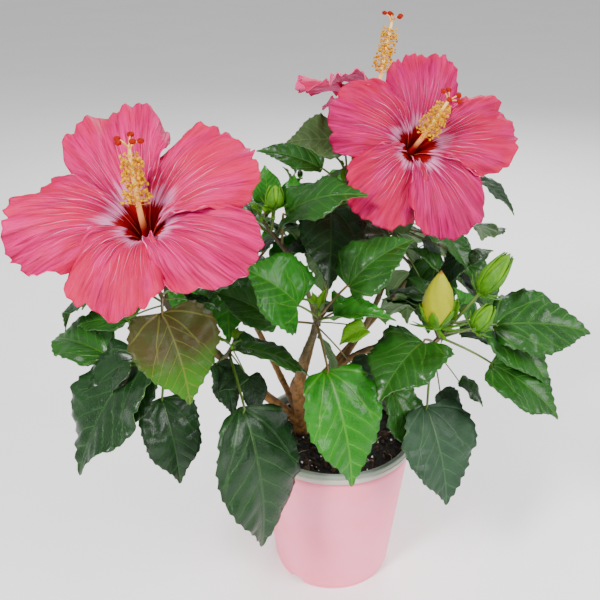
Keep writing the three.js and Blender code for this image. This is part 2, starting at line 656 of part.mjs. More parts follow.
// A leaf's row of sizes, drawn within the ranges of the plant's own leaves
function seededRow(roll, bearing, drop) {
  const length = 44 + 30 * roll();
  return [
    0.1 + 0.85 * roll(), 16 + 20 * roll(), bearing, -10 - drop + 50 * roll(),
    length, (0.64 + 0.14 * roll()) * length, bearing + 30 * (roll() - 0.5), -12 - 0.7 * drop - 42 * roll(),
    24 * (roll() - 0.5), 4 + 10 * roll(),
  ];
}

function fillMass(node, { stem: path, fill }, seed) {
  const roll = dice(seed);
  const stem = bend(path);
  const middle = stem.getPoint(0.5);
  const foreign = (piece) => piece.kind !== 'leaf' && (piece.node !== node || piece.kind === 'blade');
  const space = (tip) => tip.distanceTo(middle) < fill.reach;
  const limbs = [stem];
  for (let i = 0; i < fill.twigs; i += 1) {
    const share = ((i + 0.5) / fill.twigs) * 2 - 1;
    const bearing = fill.bearing + fill.spread * share + 20 * (roll() - 0.5);
    const start = stem.getPoint(0.15 + 0.5 * roll());
    const length = THREE.MathUtils.lerp(...TWIG_LENGTHS, roll());
    const corner = start.clone().addScaledVector(heading(bearing, TWIG_RISES[0]), 0.5 * length);
    const end = corner.clone().addScaledVector(heading(bearing, TWIG_RISES[1]), 0.5 * length);
    const curve = new THREE.QuadraticBezierCurve3(start, corner, end);
    const twig = limb(curve, taper(TWIG_RADII), 4, STEM_STEPS);
    const free = clear(twig, foreign);
    if (free) occupy(node, 'stem', twig);
    limbs.push(free ? curve : null);
  }
  limbs.forEach((curve, number) => {
    for (let i = 0; i < fill.leaves; i += 1) {
      const place = (0.5 + (i + number * fill.leaves) * GOLDEN_SHARE) % 1;
      const row = seededRow(roll, fill.bearing + fill.spread * (2 * place - 1), fill.drop * (i % 2));
      if (curve) growLeaf(node, curve, row, space);
    }
  });
}

const group = new THREE.Group();
const { pot, soil } = potShell();
const rim = potRim();
const trunk = trunkSolid();
occupy('pot', 'pot', pot);
occupy('pot_rim', 'pot', rim);
occupy('soil', 'pot', soil);
occupy('trunk', 'limb', trunk);
group.add(
  mesh('pot', pot, COLOURS.pot, 0.4), mesh('pot_rim', rim, COLOURS.rim, 0.5),
  mesh('soil', soil, COLOURS.soil, 0.95), mesh('trunk', trunk, COLOURS.bark, 0.85),
);

const earlier = [berth(bend(TRUNK), trunkRadius, TRUNK_SIDES, TRUNK_STEPS)];
for (const name of Object.keys(BOUGHS)) {
  const bough = onePiece([earlier.reduce((left, other) => left.subtract(other), boughSolid(name))]);
  earlier.push(boughBerth(name));
  occupy(name, 'limb', bough);
  group.add(mesh(name, bough, COLOURS.bark, 0.85));
}

for (const [name, bloom] of Object.entries(BLOOMS)) {
  const body = bloomSolid(bloom);
  occupy(name, 'bloom', body);
  group.add(mesh(name, body, COLOURS[bloom.colour], 0.5));
}

for (const [name, bud] of Object.entries(BUDS)) {
  const body = budSolid(bud);
  occupy(name, 'bloom', body);
  group.add(mesh(name, body, name === 'bud_yellow' ? COLOURS.budYellow : COLOURS.budGreen, 0.5));
}

for (const name of Object.keys(MASSES)) {
  occupy(name, 'stem', onePiece([stemSolid(name).subtract(boughBerth(MASSES[name].on))]));
}
for (const [name, mass] of Object.entries(MASSES)) {
  mass.leaves.forEach((row) => growLeaf(name, bend(mass.stem), row));
}
Object.entries(MASSES).forEach(([name, mass], i) => fillMass(name, mass, SEED + SEED_STEP * i));

for (const [name, mass] of Object.entries(MASSES)) {
  const pieces = placed.filter((piece) => piece.node === name && ['stem', 'leaf'].includes(piece.kind))
    .map((piece) => piece.body);
  const whole = onePiece(pieces).subtract(boughBerth(mass.on));
  group.add(mesh(name, onePiece([whole]), COLOURS[mass.colour], 0.5));
}

export default group;
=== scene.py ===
# Looks of a potted hibiscus in flower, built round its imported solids. The plant is worked out in
# millimetres, +Z up, with the origin in the middle of the pot's underside and -Y as its front.
import json
import math

import bpy
import numpy as np
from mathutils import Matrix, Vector, noise
from mathutils.bvhtree import BVHTree


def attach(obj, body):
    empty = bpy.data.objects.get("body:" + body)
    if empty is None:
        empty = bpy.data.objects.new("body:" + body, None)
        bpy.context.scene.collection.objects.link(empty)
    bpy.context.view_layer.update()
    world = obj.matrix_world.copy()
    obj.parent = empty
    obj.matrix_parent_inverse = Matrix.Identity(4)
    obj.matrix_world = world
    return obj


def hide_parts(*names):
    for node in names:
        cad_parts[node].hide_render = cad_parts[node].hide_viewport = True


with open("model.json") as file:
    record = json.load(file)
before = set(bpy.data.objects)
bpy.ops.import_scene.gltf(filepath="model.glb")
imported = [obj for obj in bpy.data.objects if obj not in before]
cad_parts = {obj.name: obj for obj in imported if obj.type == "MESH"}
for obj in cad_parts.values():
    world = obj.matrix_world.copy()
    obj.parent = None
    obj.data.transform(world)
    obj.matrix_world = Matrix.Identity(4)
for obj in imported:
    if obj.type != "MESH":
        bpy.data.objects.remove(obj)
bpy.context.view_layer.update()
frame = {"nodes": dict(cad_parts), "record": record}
SLOTS = {part["node"]: part["material_slot"] for part in frame["record"]["subparts"]}

MM = 0.001

# Camera: it looks along +Y and down at the plant
CAMERA_TARGET = (-28.1, 0.0, 248.1)
CAMERA_DISTANCE = 607.4
CAMERA_ELEVATION = 26.35
CAMERA_LENS = 48.0
CAMERA_SENSOR = 36.0

# Pot and soil
POT_SIDES = 160
FOOT_RADIUS = 47.7
WALL_FOOT = (49.9, 10.8)  # radius and height where the wall starts
WALL_TOP = (62.8, 123.4)
WALL_THICKNESS = 1.8
RIM_RADIUS = 65.0
RIM_INNER_RADIUS = 60.9
RIM_FOOT = 123.7
RIM_TOP = 132.0
SOIL_HEIGHT = 121.0
SOIL_RADIUS = 60.5
NOTCH_BEARING = -130.0  # the small notch cut into the foot
NOTCH_HALF_ANGLE = 8.0
NOTCH_HEIGHT = 4.6
SOIL_RINGS, SOIL_SIDES = 44, 150
CRUMBS = 900
LARGE_CHIPS, CHIPS = 16, 210  # the large ones come first in the count of all
PERLITE = 85
FINE_ROOTS = 40

# Wood
TRUNK_RADII = (4.9, 3.8)
ROOT_FLARE = 0.75
FLARE_RISE = 6.0
KNOT = (0.5, 0.9, 0.09)  # swell, place and spread of the knot under the fork
STEM_RADII = (1.9, 1.2)
TWIG_RADII = (1.5, 1.0)
TWIG_LENGTHS = (30.0, 46.0)
TWIG_RISES = (8.0, 48.0)
TRUNK_STEPS, BOUGH_STEPS = 70, 84

# Leaves
LEAF_ARCH = 0.07
LEAF_LOBE = 1.5
LEAF_SHOULDER = 0.68
LEAF_FULLNESS = 0.75
PETIOLE_LIFT = 0.06
PETIOLE_RADIUS = 0.85
BLADE_THICKNESS = 0.35
TEETH = 13
TOOTH_DEPTH = 0.036  # as a share of the leaf's width
ROWS_PER_TOOTH = 5
BLADE_COLUMNS = 14
PALM_BEARINGS = (0.78, 1.42)  # of the two side veins that leave the stalk, in radians off the midrib
VEIN_SPACING = 0.15  # between side veins, as a share of the leaf's length
QUILT_HEIGHT = 0.018
DRIP_TIP = 0.5  # how much the tip is drawn out to a point
FLOWERING = ("foliage_left", "foliage_upper_right", "foliage_rear")  # their stems end in a bloom
SMALL_LEAF = 30.0  # blades shorter than this are laid out more coarsely
SPRIGS = 20  # finer twigs tried in each mass
SPRIG_ROOM = 6.0  # how near the mass's own leaves their leaves stay
SEED = 4099
SEED_STEP = 97
GOLDEN_SHARE = 0.618

# Blooms
BLOOM_RADIUS = 70.0
THROAT_RADIUS = 3.0
BLOOM_REFLEX = 8.0
PETAL_SPREAD = 0.74  # half angle of a petal, in radians
THROAT_SPREAD = 0.95  # and at the throat, where petals lap over each other
PETAL_ROUND = 0.37  # how far the rim falls back at a petal's corners, as a share of its reach
PETAL_OVERLAP = 3.0
PETAL_ROWS = 56
PETAL_COLUMNS = 48
PETAL_THICKNESS = 0.5
CALYX_LENGTH = 22.0
ANTHERS = 150
STIGMAS = 5
BUD_SIDES = 40
BRACTS = 9
STIGMA_SPREAD = 6.5

TRUNK = [[-25, 12, 112], [-31, 2, 150], [-30, -5, 180]]
BOUGHS = {
    "bough_left": ([[-28, 6, 133], [-72, 4, 172], [-113, -76, 278]], (4.1, 2.1)),
    "bough_left_low": ([[-80, -25, 204], [-98, -50, 216], [-114, -72, 236]], (2.2, 1.6)),
    "bough_left_mid": ([[-86, -32, 216], [-83, -39, 220], [-80, -44, 226]], (2, 1.7)),
    "bough_front": ([[-30, -4, 176], [-29, -22, 205], [-18, -48, 246]], (3.1, 2.4)),
    "bough_centre": ([[-30, -3, 178], [-14, 4, 225], [-3, 12, 276]], (3.1, 2.2)),
    "bough_right": ([[-29, 3, 151], [18, 8, 218], [66, -32, 226]], (3.3, 2.1)),
    "bough_upper_left": ([[-15, 4, 226], [-22, -2, 262], [-38, -6, 291]], (2.2, 1.6)),
    "bough_upper_right": ([[4, 2, 193], [40, 20, 235], [44, 25, 290]], (2.4, 1.7)),
    "bough_rear": ([[-29, 3, 165], [-14, 48, 200], [0, 66, 256]], (3, 1.9)),
    "bough_rear_left": ([[-29, 5, 141], [-50, 45, 165], [-82, 62, 232]], (3, 1.9)),
    "bough_rear_right": ([[-30, -1, 158], [18, 48, 184], [62, 60, 238]], (2.9, 1.9)),
}
# Masses of foliage. Each leaf is a row of sizes: node on the stem (0 foot, 1 tip); petiole
# length, bearing, rise; blade length, width, bearing, pitch, roll, fold; and its tone.
# Most of a row's sizes were worked out by a program from points picked on a photo of the plant.
# fill: side twigs, seeded leaves on each limb, middle bearing, half spread, how many degrees
# lower every other leaf hangs, and tones.
MASSES = {
    "foliage_left": {
        "stem": [[-113, -76, 278], [-117, -82, 288], [-118, -86, 300]],
        "fill": (1, 4, 110, 80, 0, ["mid", "dark"]),
        "leaves": [
            (0.6, 16, -82, -9, 61, 60, -53, -58, 0, 6, "bronze"),
            (0.3, 42, 148, -30, 40, 28, 168, -13, 20, 10, "mid"),
            (0.5, 39, 72, -25, 30, 24, 37, -28, 0, 10, "dark"),
        ],
    },
    "foliage_left_low": {
        "stem": [[-114, -72, 236], [-119, -78, 242], [-124, -84, 247]],
        "fill": (1, 3, 150, 70, 0, ["dark", "mid"]),
        "leaves": [
            (0.9, 14, -135, 25, 88, 72, -141, -50, 0, 4, "dark"),
            (0.5, 28, -120, -76, 62, 43, -60, -66, 0, 6, "dark"),
            (0.7, 42, 160, -8, 66, 42, 178, -14, 24, 20, "mid"),
        ],
    },
    "foliage_left_mid": {
        "stem": [[-80, -44, 226], [-78, -48, 232], [-76, -54, 238]],
        "fill": (0, 2, 200, 50, 0, ["dark"]),
        "leaves": [
            (0.7, 4, -30, 48, 68, 38, -37, -28, 0, 8, "mid"),
            (0.2, 50, -73, -22, 111, 64, -55, -76, 0, 5, "dark"),
            (0.3, 19, -50, -26, 23, 18, -147, -15, 20, 6, "dark"),
            (0.9, 32, 35, -68, 29, 27, -35, -69, 0, 6, "dark"),
            (0.5, 13, -156, -38, 43, 27, -38, -68, 0, 6, "dark"),
        ],
    },
    "foliage_front": {
        "stem": [[-18, -48, 246], [-16, -51, 254], [-15, -53, 264]],
        "fill": (0, 4, 60, 100, 0, ["mid", "bright"]),
        "leaves": [
            (0.5, 36, -76, -34, 83, 58, -60, -64, 0, 8, "bright"),
            (0.8, 35, -23, 54, 54, 46, 11, 38, -22, 8, "mid"),
            (0.7, 16, -46, 26, 45, 24, -24, 13, -20, 40, "bright"),
            (0.8, 23, -137, 41, 50, 56, -167, 42, 42, 6, "bright"),
            (0.6, 34, -11, -2, 22, 18, -157, -20, 20, 20, "lime"),
            (0.5, 28, 166, -4, 51, 38, 165, 22, 20, 8, "mid"),
            (0.4, 39, -4, -50, 38, 33, -18, -46, 0, 8, "dark"),
            (0.3, 49, 84, -36, 40, 30, 20, -80, 0, 6, "mid"),
            (0.3, 44, 67, 54, 25, 21, 123, -68, 0, 6, "dark"),
        ],
    },
    "foliage_right": {
        "stem": [[66, -32, 226], [72, -36, 232], [78, -40, 246]],
        "fill": (1, 4, 60, 80, 0, ["mid", "dark"]),
        "leaves": [
            (0.3, 31, -115, 31, 58, 56, -131, -29, 0, 4, "mid"),
            (0.6, 46, 1, -29, 64, 52, -22, -32, -16, 6, "mid"),
            (0.1, 42, 6, -53, 27, 23, -17, -41, 0, 10, "mid"),
            (0.2, 48, -99, -75, 77, 62, -61, -64, 0, 6, "blue"),
            (0.6, 53, -167, -52, 51, 38, -47, -61, 0, 8, "mid"),
            (0.2, 48, 35, -74, 34, 27, -43, -53, 0, 8, "blue"),
            (0.55, 46, 18, 5, 76, 54, 3, -5, -32, 6, "mid"),
            (0.5, 39, 53, -15, 45, 34, -3, -12, 0, 6, "dark"),
            (0.7, 47, 53, -7, 27, 24, 140, 56, 0, 8, "bright"),
        ],
    },
    "foliage_upper_left": {
        "stem": [[-38, -6, 291], [-46, -9, 302], [-55, -13, 318]],
        "fill": (1, 4, 140, 80, 0, ["bright", "mid"]),
        "leaves": [
            (0.2, 35, -85, 61, 64, 42, 25, 25, -28, 8, "mid"),
            (0.97, 14, 70, 52, 26, 22, 101, 75, 0, 8, "bright"),
            (0.4, 26, 35, 61, 23, 20, 78, 64, 0, 8, "bright"),
        ],
    },
    "foliage_upper_centre": {
        "stem": [[-3, 12, 276], [0, 16, 310], [8, 20, 345]],
        "fill": (2, 4, 110, 120, 0, ["dark", "mid"]),
        "leaves": [
            (0.9, 31, -109, 72, 44, 36, -158, 6, 40, 10, "olive"),
            (0.8, 22, 156, 34, 51, 26, 171, 15, 30, 15, "mid"),
            (0.2, 9, 150, -15, 36, 28, 161, -18, 15, 8, "dark"),
            (0.9, 16, 74, 17, 28, 25, 148, -44, 0, 8, "dark"),
            (0.6, 10, 83, -18, 21, 20, 132, 49, 0, 8, "mid"),
        ],
    },
    "foliage_upper_right": {
        "stem": [[44, 25, 290], [44, 26, 302], [48, 30, 316]],
        "fill": (1, 4, 40, 90, 0, ["dark", "mid"]),
        "leaves": [
            (0.3, 19, -106, 4, 59, 42, -158, 3, 15, 6, "olive"),
            (0.6, 16, -75, -30, 19, 16, -70, 77, 0, 8, "lime"),
            (0.2, 24, 1, -20, 30, 32, -19, -60, 0, 8, "dark"),
            (0.3, 63, 4, -18, 38, 30, -158, -50, 0, 8, "dark"),
            (0.5, 49, -8, -14, 20, 13, -51, -62, 0, 30, "mid"),
            (0.3, 62, -24, -18, 20, 21, 20, 31, 0, 8, "mid"),
            (0.5, 73, 21, 19, 40, 26, -21, -38, 0, 8, "dark"),
            (0.1, 52, -58, -38, 17, 14, 163, 36, 20, 10, "mid"),
            (0.15, 47, -47, -23, 27, 17, 163, 38, 20, 35, "mid"),
        ],
    },
    "foliage_rear": {
        "stem": [[0, 66, 256], [3, 64, 282], [6, 58, 306]],
        "fill": (3, 5, 90, 120, 34, ["mid", "bright", "dark"]),
        "leaves": [],
    },
    "foliage_rear_left": {
        "stem": [[-82, 62, 232], [-94, 68, 256], [-102, 64, 284]],
        "fill": (3, 5, 140, 150, 34, ["dark", "mid", "bright"]),
        "leaves": [],
    },
    "foliage_rear_right": {
        "stem": [[62, 60, 238], [76, 62, 258], [84, 60, 286]],
        "fill": (3, 5, 30, 150, 46, ["dark", "mid", "blue"]),
        "leaves": [],
    },
}
NUDGES = [
    (0, 0), (0, 8), (0, -8), (10, 0), (-10, 0), (12, 12), (-12, 12), (20, 0), (-20, 0),
    (0, 20), (20, -14), (-20, -14), (36, 8), (-36, 8), (50, 0), (-50, 0),
]
# Blooms: throat, axis (bearing, rise), depth, column (length, bearing, rise), petals' bearings
# round the axis and shares of the bloom's reach, scale, pedicel
BLOOMS = {
    "bloom_left": {
        "throat": (-116, -115, 344), "axis": (-93, 53), "depth": 38, "column": (66, -110, 86),
        "petals": (112, 36, -27, -98, -164), "reach": (1, 1, 1, 0.88, 0.99), "scale": 1.03,
        "tone": "petal",
        "pedicel": [(-118, -86, 299), (-117, -91, 309)],
    },
    "bloom_right": {
        "throat": (51, 20, 357), "axis": (-79, 32), "depth": 38, "column": (64, -46, 57),
        "petals": (82, 2, -73, -133, 157), "reach": (0.93, 1.02, 1.05, 1.04, 1), "scale": 0.95,
        "tone": "petal_rich",
        "pedicel": [(48, 30, 315), (46, 50, 326)],
    },
    "bloom_rear": {
        "throat": (26, 60, 374), "axis": (60, 62), "depth": 20, "column": (72, 20, 80),
        "petals": (100, 28, -44, -116, 172), "reach": (1, 1, 1, 1, 1), "scale": 0.86, "tone": "petal",
        "pedicel": [(6, 58, 304), (10, 48, 330)],
    },
}
# Buds: mass and node that carry the stalk, foot and tip of the bud, its radius
BUDS = {
    "bud_yellow": ("foliage_right", 0.6, (68, -46, 250), (68, -48, 294), 10.5),
    "bud_green_upper": ("foliage_right", 0.98, (102, -25, 266), (120, -25, 297), 8),
    "bud_green_lower": ("foliage_right", 0.8, (96, -45, 247), (106, -46, 267), 6.5),
    "bud_upper_left": ("foliage_upper_left", 0.65, (-46, -17, 328), (-45, -18, 345), 6),
}


# Vectors and curves

def heading(bearing, rise):
    turn, lift = math.radians(bearing), math.radians(rise)
    return np.array([math.cos(turn) * math.cos(lift), math.sin(turn) * math.cos(lift), math.sin(lift)])


def unit(v):
    return v / np.linalg.norm(v, axis=-1, keepdims=True)


def turned(v, axis, degrees):
    angle = math.radians(degrees)
    return (v * math.cos(angle) + np.cross(axis, v) * math.sin(angle)
            + axis * np.dot(axis, v) * (1 - math.cos(angle)))


def on_curve(path, t):
    a, b, c = (np.asarray(p, float) for p in path)
    t = np.asarray(t, float)[..., None]
    return (1 - t) ** 2 * a + 2 * t * (1 - t) * b + t ** 2 * c


def even_steps(path, count):
    """Curve parameters of points that lie the same distance apart."""
    fine = np.linspace(0, 1, 201)
    line = on_curve(path, fine)
    run = np.concatenate([[0], np.cumsum(np.linalg.norm(np.diff(line, axis=0), axis=1))])
    return np.interp(np.linspace(0, run[-1], count), run, fine)


def stem_line(path, count):
    return on_curve(path, even_steps(path, count))


def smooth(low, high, x):
    t = np.clip((x - low) / (high - low), 0, 1)
    return t * t * (3 - 2 * t)


def dice(seed):
    """The plant's seeded numbers from 0 to 1."""
    state = seed

    def roll():
        nonlocal state
        state = (state * 16807) % 2147483647
        return state / 2147483647

    return roll


class Pile:
    """Four-sided faces gathered into one mesh. Each face keeps the name of its material."""

    def __init__(self):
        self.points, self.uvs, self.faces, self.tones = [], [], [], []
        self.count = 0

    def add(self, points, faces, tones, uv=None):
        points = np.asarray(points, float).reshape(-1, 3)
        faces = np.asarray(faces, int).reshape(-1, 4)
        uv = np.zeros((len(points), 2)) if uv is None else np.asarray(uv, float).reshape(-1, 2)
        self.points.append(points)
        self.uvs.append(uv)
        self.faces.append(faces + self.count)
        self.tones += [tones] * len(faces) if isinstance(tones, str) else list(tones)
        self.count += len(points)

    def piece(self, name, slot, nodes):
        points, uvs = np.concatenate(self.points) * MM, np.concatenate(self.uvs)
        faces = np.concatenate(self.faces)
        mesh = bpy.data.meshes.new(name)
        mesh.vertices.add(len(points))
        mesh.vertices.foreach_set("co", points.astype(np.float32).ravel())
        mesh.loops.add(4 * len(faces))
        mesh.loops.foreach_set("vertex_index", faces.astype(np.int32).ravel())
        mesh.polygons.add(len(faces))
        mesh.polygons.foreach_set("loop_start", np.arange(0, 4 * len(faces), 4, dtype=np.int32))
        kinds = sorted(set(self.tones))
        numbers = {tone: i for i, tone in enumerate(kinds)}
        mesh.update(calc_edges=True)
        mesh.polygons.foreach_set("material_index", [numbers[tone] for tone in self.tones])
        mesh.polygons.foreach_set("use_smooth", [True] * len(faces))
        layer = mesh.uv_layers.new(name="UVMap")
        layer.data.foreach_set("uv", uvs[faces.ravel()].astype(np.float32).ravel())
        mesh.validate()
        for tone in kinds:
            mesh.materials.append(MATERIALS[tone])
        piece = bpy.data.objects.new(name, mesh)
        bpy.context.scene.collection.objects.link(piece)
        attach(piece, "root")
        if nodes:
            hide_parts(*nodes)
        return piece


def grid_faces(rows, columns, wrap=False):
    """Faces of a grid of rows x columns points; wrap closes each row into a ring."""
    across = columns if wrap else columns - 1
    r, c = np.meshgrid(np.arange(rows - 1), np.arange(across), indexing="ij")
    nxt = (c + 1) % columns
    quads = [r * columns + c, r * columns + nxt, (r + 1) * columns + nxt, (r + 1) * columns + c]
    return np.stack(quads, -1).reshape(-1, 4)


def cap_faces(start, sides, flip=False):
    """Faces across a ring with an even number of points."""
    half = range(sides // 2 - 1)
    quads = np.array([[i, i + 1, sides - 2 - i, sides - 1 - i] for i in half]) + start
    return quads[:, ::-1] if flip else quads


def tube(pile, line, radii, tone, sides=8, relief=None):
    """A closed round limb along a line of points. relief(angle, run) swells its radius."""
    line = np.asarray(line, float)
    radii = np.broadcast_to(np.asarray(radii, float), len(line))
    forward = unit(np.gradient(line, axis=0))
    side = np.cross(forward[0], [0.13, 0.97, 0.21])
    rings, uvs = [], []
    turns = np.linspace(0, 2 * math.pi, sides, endpoint=False)
    run = np.concatenate([[0], np.cumsum(np.linalg.norm(np.diff(line, axis=0), axis=1))])
    for i, point in enumerate(line):
        side = unit(side - forward[i] * np.dot(side, forward[i]))
        other = np.cross(forward[i], side)
        swell = 1 if relief is None else relief(turns, run[i])
        ring = (side * np.cos(turns)[:, None] + other * np.sin(turns)[:, None])
        rings.append(point + ring * (radii[i] * swell * np.ones(sides))[:, None])
        uvs.append(np.stack([turns / (2 * math.pi), np.full(sides, run[i] / 10)], -1))
    faces = np.concatenate([
        grid_faces(len(line), sides, wrap=True), cap_faces(0, sides, flip=True),
        cap_faces((len(line) - 1) * sides, sides),
    ])
    pile.add(np.concatenate(rings), faces, tone, np.concatenate(uvs))


def ball(pile, centre, radii, tone, axis=(0, 0, 1), sides=8, steps=5):
    """A rounded lump: radii along and across its axis."""
    axis = unit(np.asarray(axis, float))
    turns = np.linspace(0.12, math.pi - 0.12, steps + 1)
    line = np.asarray(centre, float) - axis * (radii[0] * np.cos(turns))[:, None]
    tube(pile, line, radii[1] * np.sin(turns), tone, sides)


def sheet(pile, top, under, tones, uv):
    """A thin closed leaf-like sheet from two grids of points, rows x columns x 3."""
    rows, columns = top.shape[:2]
    count = rows * columns
    flat = grid_faces(rows, columns)
    edge = np.concatenate([
        np.arange(columns), np.arange(1, rows) * columns + columns - 1,
        (rows - 1) * columns + np.arange(columns - 2, -1, -1), np.arange(rows - 2, 0, -1) * columns,
    ])
    ahead = np.roll(edge, -1)
    rim = np.stack([edge, edge + count, ahead + count, ahead], -1)
    faces = np.concatenate([flat, flat[:, [0, 3, 2, 1]] + count, rim])
    names = [tones[0]] * len(flat) + [tones[1]] * (len(flat) + len(rim))
    points = np.concatenate([top.reshape(-1, 3), under.reshape(-1, 3)])
    pile.add(points, faces, names, np.concatenate([uv.reshape(-1, 2)] * 2))


def normals_of(points):
    along = np.gradient(points, axis=0)
    across = np.gradient(points, axis=1)
    normal = np.cross(across, along)
    return normal / np.maximum(np.linalg.norm(normal, axis=-1, keepdims=True), 1e-9)


# Materials

class Graph:
    """Short ways to lay out a material's nodes."""

    def __init__(self, name):
        self.material = bpy.data.materials.new(name)
        self.material.use_nodes = True
        self.tree = self.material.node_tree
        self.shader = self.tree.nodes["Principled BSDF"]

    def node(self, kind, **settings):
        made = self.tree.nodes.new("ShaderNode" + kind)
        for key, value in settings.items():
            setattr(made, key, value)
        return made

    def link(self, source, target):
        if isinstance(source, bpy.types.NodeSocket):
            self.tree.links.new(source, target)
        else:
            target.default_value = source

    def math(self, operation, *values):
        made = self.node("Math", operation=operation)
        for value, socket in zip(values, made.inputs):
            self.link(value, socket)
        return made.outputs[0]

    def times(self, first, second):
        return self.math("MULTIPLY", first, second)

    def plus(self, first, second):
        return self.math("ADD", first, second)

    def minus(self, first, second):
        return self.math("SUBTRACT", first, second)

    def ramp(self, value, low, high, out_low=0.0, out_high=1.0):
        """value from low..high to out_low..out_high, smoothly and held at both ends."""
        made = self.node("MapRange", interpolation_type="SMOOTHSTEP")
        for socket, number in zip(made.inputs, (value, low, high, out_low, out_high)):
            self.link(number, socket)
        return made.outputs[0]

    def mix(self, share, first, second):
        made = self.node("Mix", data_type="RGBA")
        self.link(share, made.inputs["Factor"])
        self.link(first, made.inputs["A"])
        self.link(second, made.inputs["B"])
        return made.outputs["Result"]

    def noise(self, vector, scale, detail=3.0, roughness=0.5):
        made = self.node("TexNoise")
        self.link(vector, made.inputs["Vector"])
        made.inputs["Scale"].default_value = scale
        made.inputs["Detail"].default_value = detail
        made.inputs["Roughness"].default_value = roughness
        return made.outputs["Fac"]

    def vector(self, x, y, z=0.0):
        made = self.node("CombineXYZ")
        for value, socket in zip((x, y, z), made.inputs):
            self.link(value, socket)
        return made.outputs[0]

    def split(self, vector):
        made = self.node("SeparateXYZ")
        self.link(vector, made.inputs[0])
        return made.outputs

    def place(self):
        return self.node("TexCoord").outputs["Object"]

    def uv(self):
        return self.split(self.node("UVMap", uv_map="UVMap").outputs[0])

    def island(self):
        return self.node("NewGeometry").outputs["Random Per Island"]

    def finish(self, colour, roughness, height=None, bump=0.3, depth=0.0005, **sockets):
        self.link(colour, self.shader.inputs["Base Color"])
        self.link(roughness, self.shader.inputs["Roughness"])
        for name, value in sockets.items():
            self.shader.inputs[name.replace("_", " ")].default_value = value
        if height is not None:
            made = self.node("Bump")
            made.inputs["Strength"].default_value = bump
            made.inputs["Distance"].default_value = depth
            self.link(height, made.inputs["Height"])
            self.link(made.outputs[0], self.shader.inputs["Normal"])
        return self.material


def rgb(red, green, blue):
    """Linear colour of an 8-bit screen colour."""
    shares = [value / 255 for value in (red, green, blue)]
    linear = [s / 12.92 if s <= 0.04045 else ((s + 0.055) / 1.055) ** 2.4 for s in shares]
    return (*linear, 1.0)


def leaf_veins(g):
    """Vein lines in a blade's own coordinates: share of its length beside and along the midrib."""
    x, y, _ = g.uv()
    beside = g.math("ABSOLUTE", x)
    wobble = g.times(g.minus(g.noise(g.vector(x, y), 7.0, 2.0), 0.5), 0.05)
    beside = g.plus(beside, g.times(wobble, beside))
    square = g.times(beside, beside)
    climb = g.plus(g.times(beside, 0.8), square)
    start = g.minus(g.plus(y, wobble), climb)
    phase = g.math("DIVIDE", start, VEIN_SPACING)
    gap = g.math("ABSOLUTE", g.minus(g.math("FRACT", g.plus(phase, 0.5)), 0.5))
    side_line = g.ramp(g.times(gap, VEIN_SPACING), 0.012, 0.003)
    side_line = g.times(side_line, g.ramp(phase, 0.5, 0.9))
    radius = g.math("SQRT", g.plus(square, g.times(y, y)))
    angle = g.plus(g.math("ARCTAN2", beside, y), g.times(radius, 0.55))
    palm = []
    for bearing in PALM_BEARINGS:
        off = g.math("ABSOLUTE", g.minus(angle, bearing))
        palm.append(g.ramp(g.times(off, radius), 0.014, 0.004))
    palm_line = g.times(g.math("MAXIMUM", *palm), g.ramp(radius, 0.6, 0.4))
    mid_line = g.ramp(beside, 0.016, 0.006)
    lines = g.math("MAXIMUM", g.math("MAXIMUM", side_line, palm_line), mid_line)
    cells = g.node("TexVoronoi", feature="DISTANCE_TO_EDGE")
    g.link(g.vector(x, y), cells.inputs["Vector"])
    cells.inputs["Scale"].default_value = 44.0
    net = g.ramp(cells.outputs["Distance"], 0.0, 0.12)
    return lines, net, gap


def leaf_material(name, deep, light, vein, roughness, coat):
    g = Graph(name)
    lines, net, gap = leaf_veins(g)
    x, y, _ = g.uv()
    blotch = g.noise(g.vector(x, y, g.times(g.island(), 40.0)), 3.0, 3.0)
    patches = g.ramp(blotch, 0.3, 0.7)
    shade = g.plus(g.times(patches, 0.6), g.times(g.island(), 0.4))
    colour = g.mix(shade, rgb(*deep), rgb(*light))
    # Painted light and shade: the blade is lighter towards the side veins and darker midway between them,
    # standing in for the light and shade on the quilted blade.
    colour = g.mix(g.ramp(gap, 0.34, 0.05, 0.0, 0.5), colour, rgb(*light))
    colour = g.mix(g.times(g.minus(1.0, net), 0.08), colour, rgb(*vein))
    colour = g.mix(g.times(lines, 0.42), colour, rgb(*vein))
    height = g.plus(g.times(lines, -0.8), g.times(net, 0.22))
    rough = g.plus(roughness, g.times(g.minus(blotch, 0.5), 0.3))
    return g.finish(colour, rough, height, 0.7, 0.0006, Specular_IOR_Level=0.2, Coat_Weight=coat,
                    Coat_Roughness=0.2)


def bronze_material():
    """Red-brown at the stalk, green towards the tip."""
    g = Graph("leaf_bronze")
    lines, net, _ = leaf_veins(g)
    x, y, _ = g.uv()
    blotch = g.noise(g.vector(x, y), 4.0, 4.0)
    turn = g.ramp(g.plus(y, g.times(g.minus(blotch, 0.5), 0.5)), 0.35, 0.75)
    colour = g.mix(turn, rgb(58, 52, 16), rgb(50, 104, 8))
    colour = g.mix(g.ramp(blotch, 0.35, 0.65, 0.0, 0.4), colour, rgb(46, 70, 18))
    colour = g.mix(g.times(lines, 0.5), colour, rgb(108, 112, 44))
    height = g.plus(g.times(lines, -0.8), g.times(net, 0.35))
    return g.finish(colour, 0.42, height, 0.5, 0.0006, Specular_IOR_Level=0.15, Coat_Weight=0.04,
                    Coat_Roughness=0.2)


def under_material(name, colour, vein):
    g = Graph(name)
    lines, net, _ = leaf_veins(g)
    tint = g.mix(g.island(), rgb(*colour), rgb(*[min(255, int(c * 1.15)) for c in colour]))
    tint = g.mix(g.times(lines, 0.7), tint, rgb(*vein))
    height = g.plus(lines, g.times(net, -0.3))
    return g.finish(tint, 0.55, height, 0.6, 0.0007)


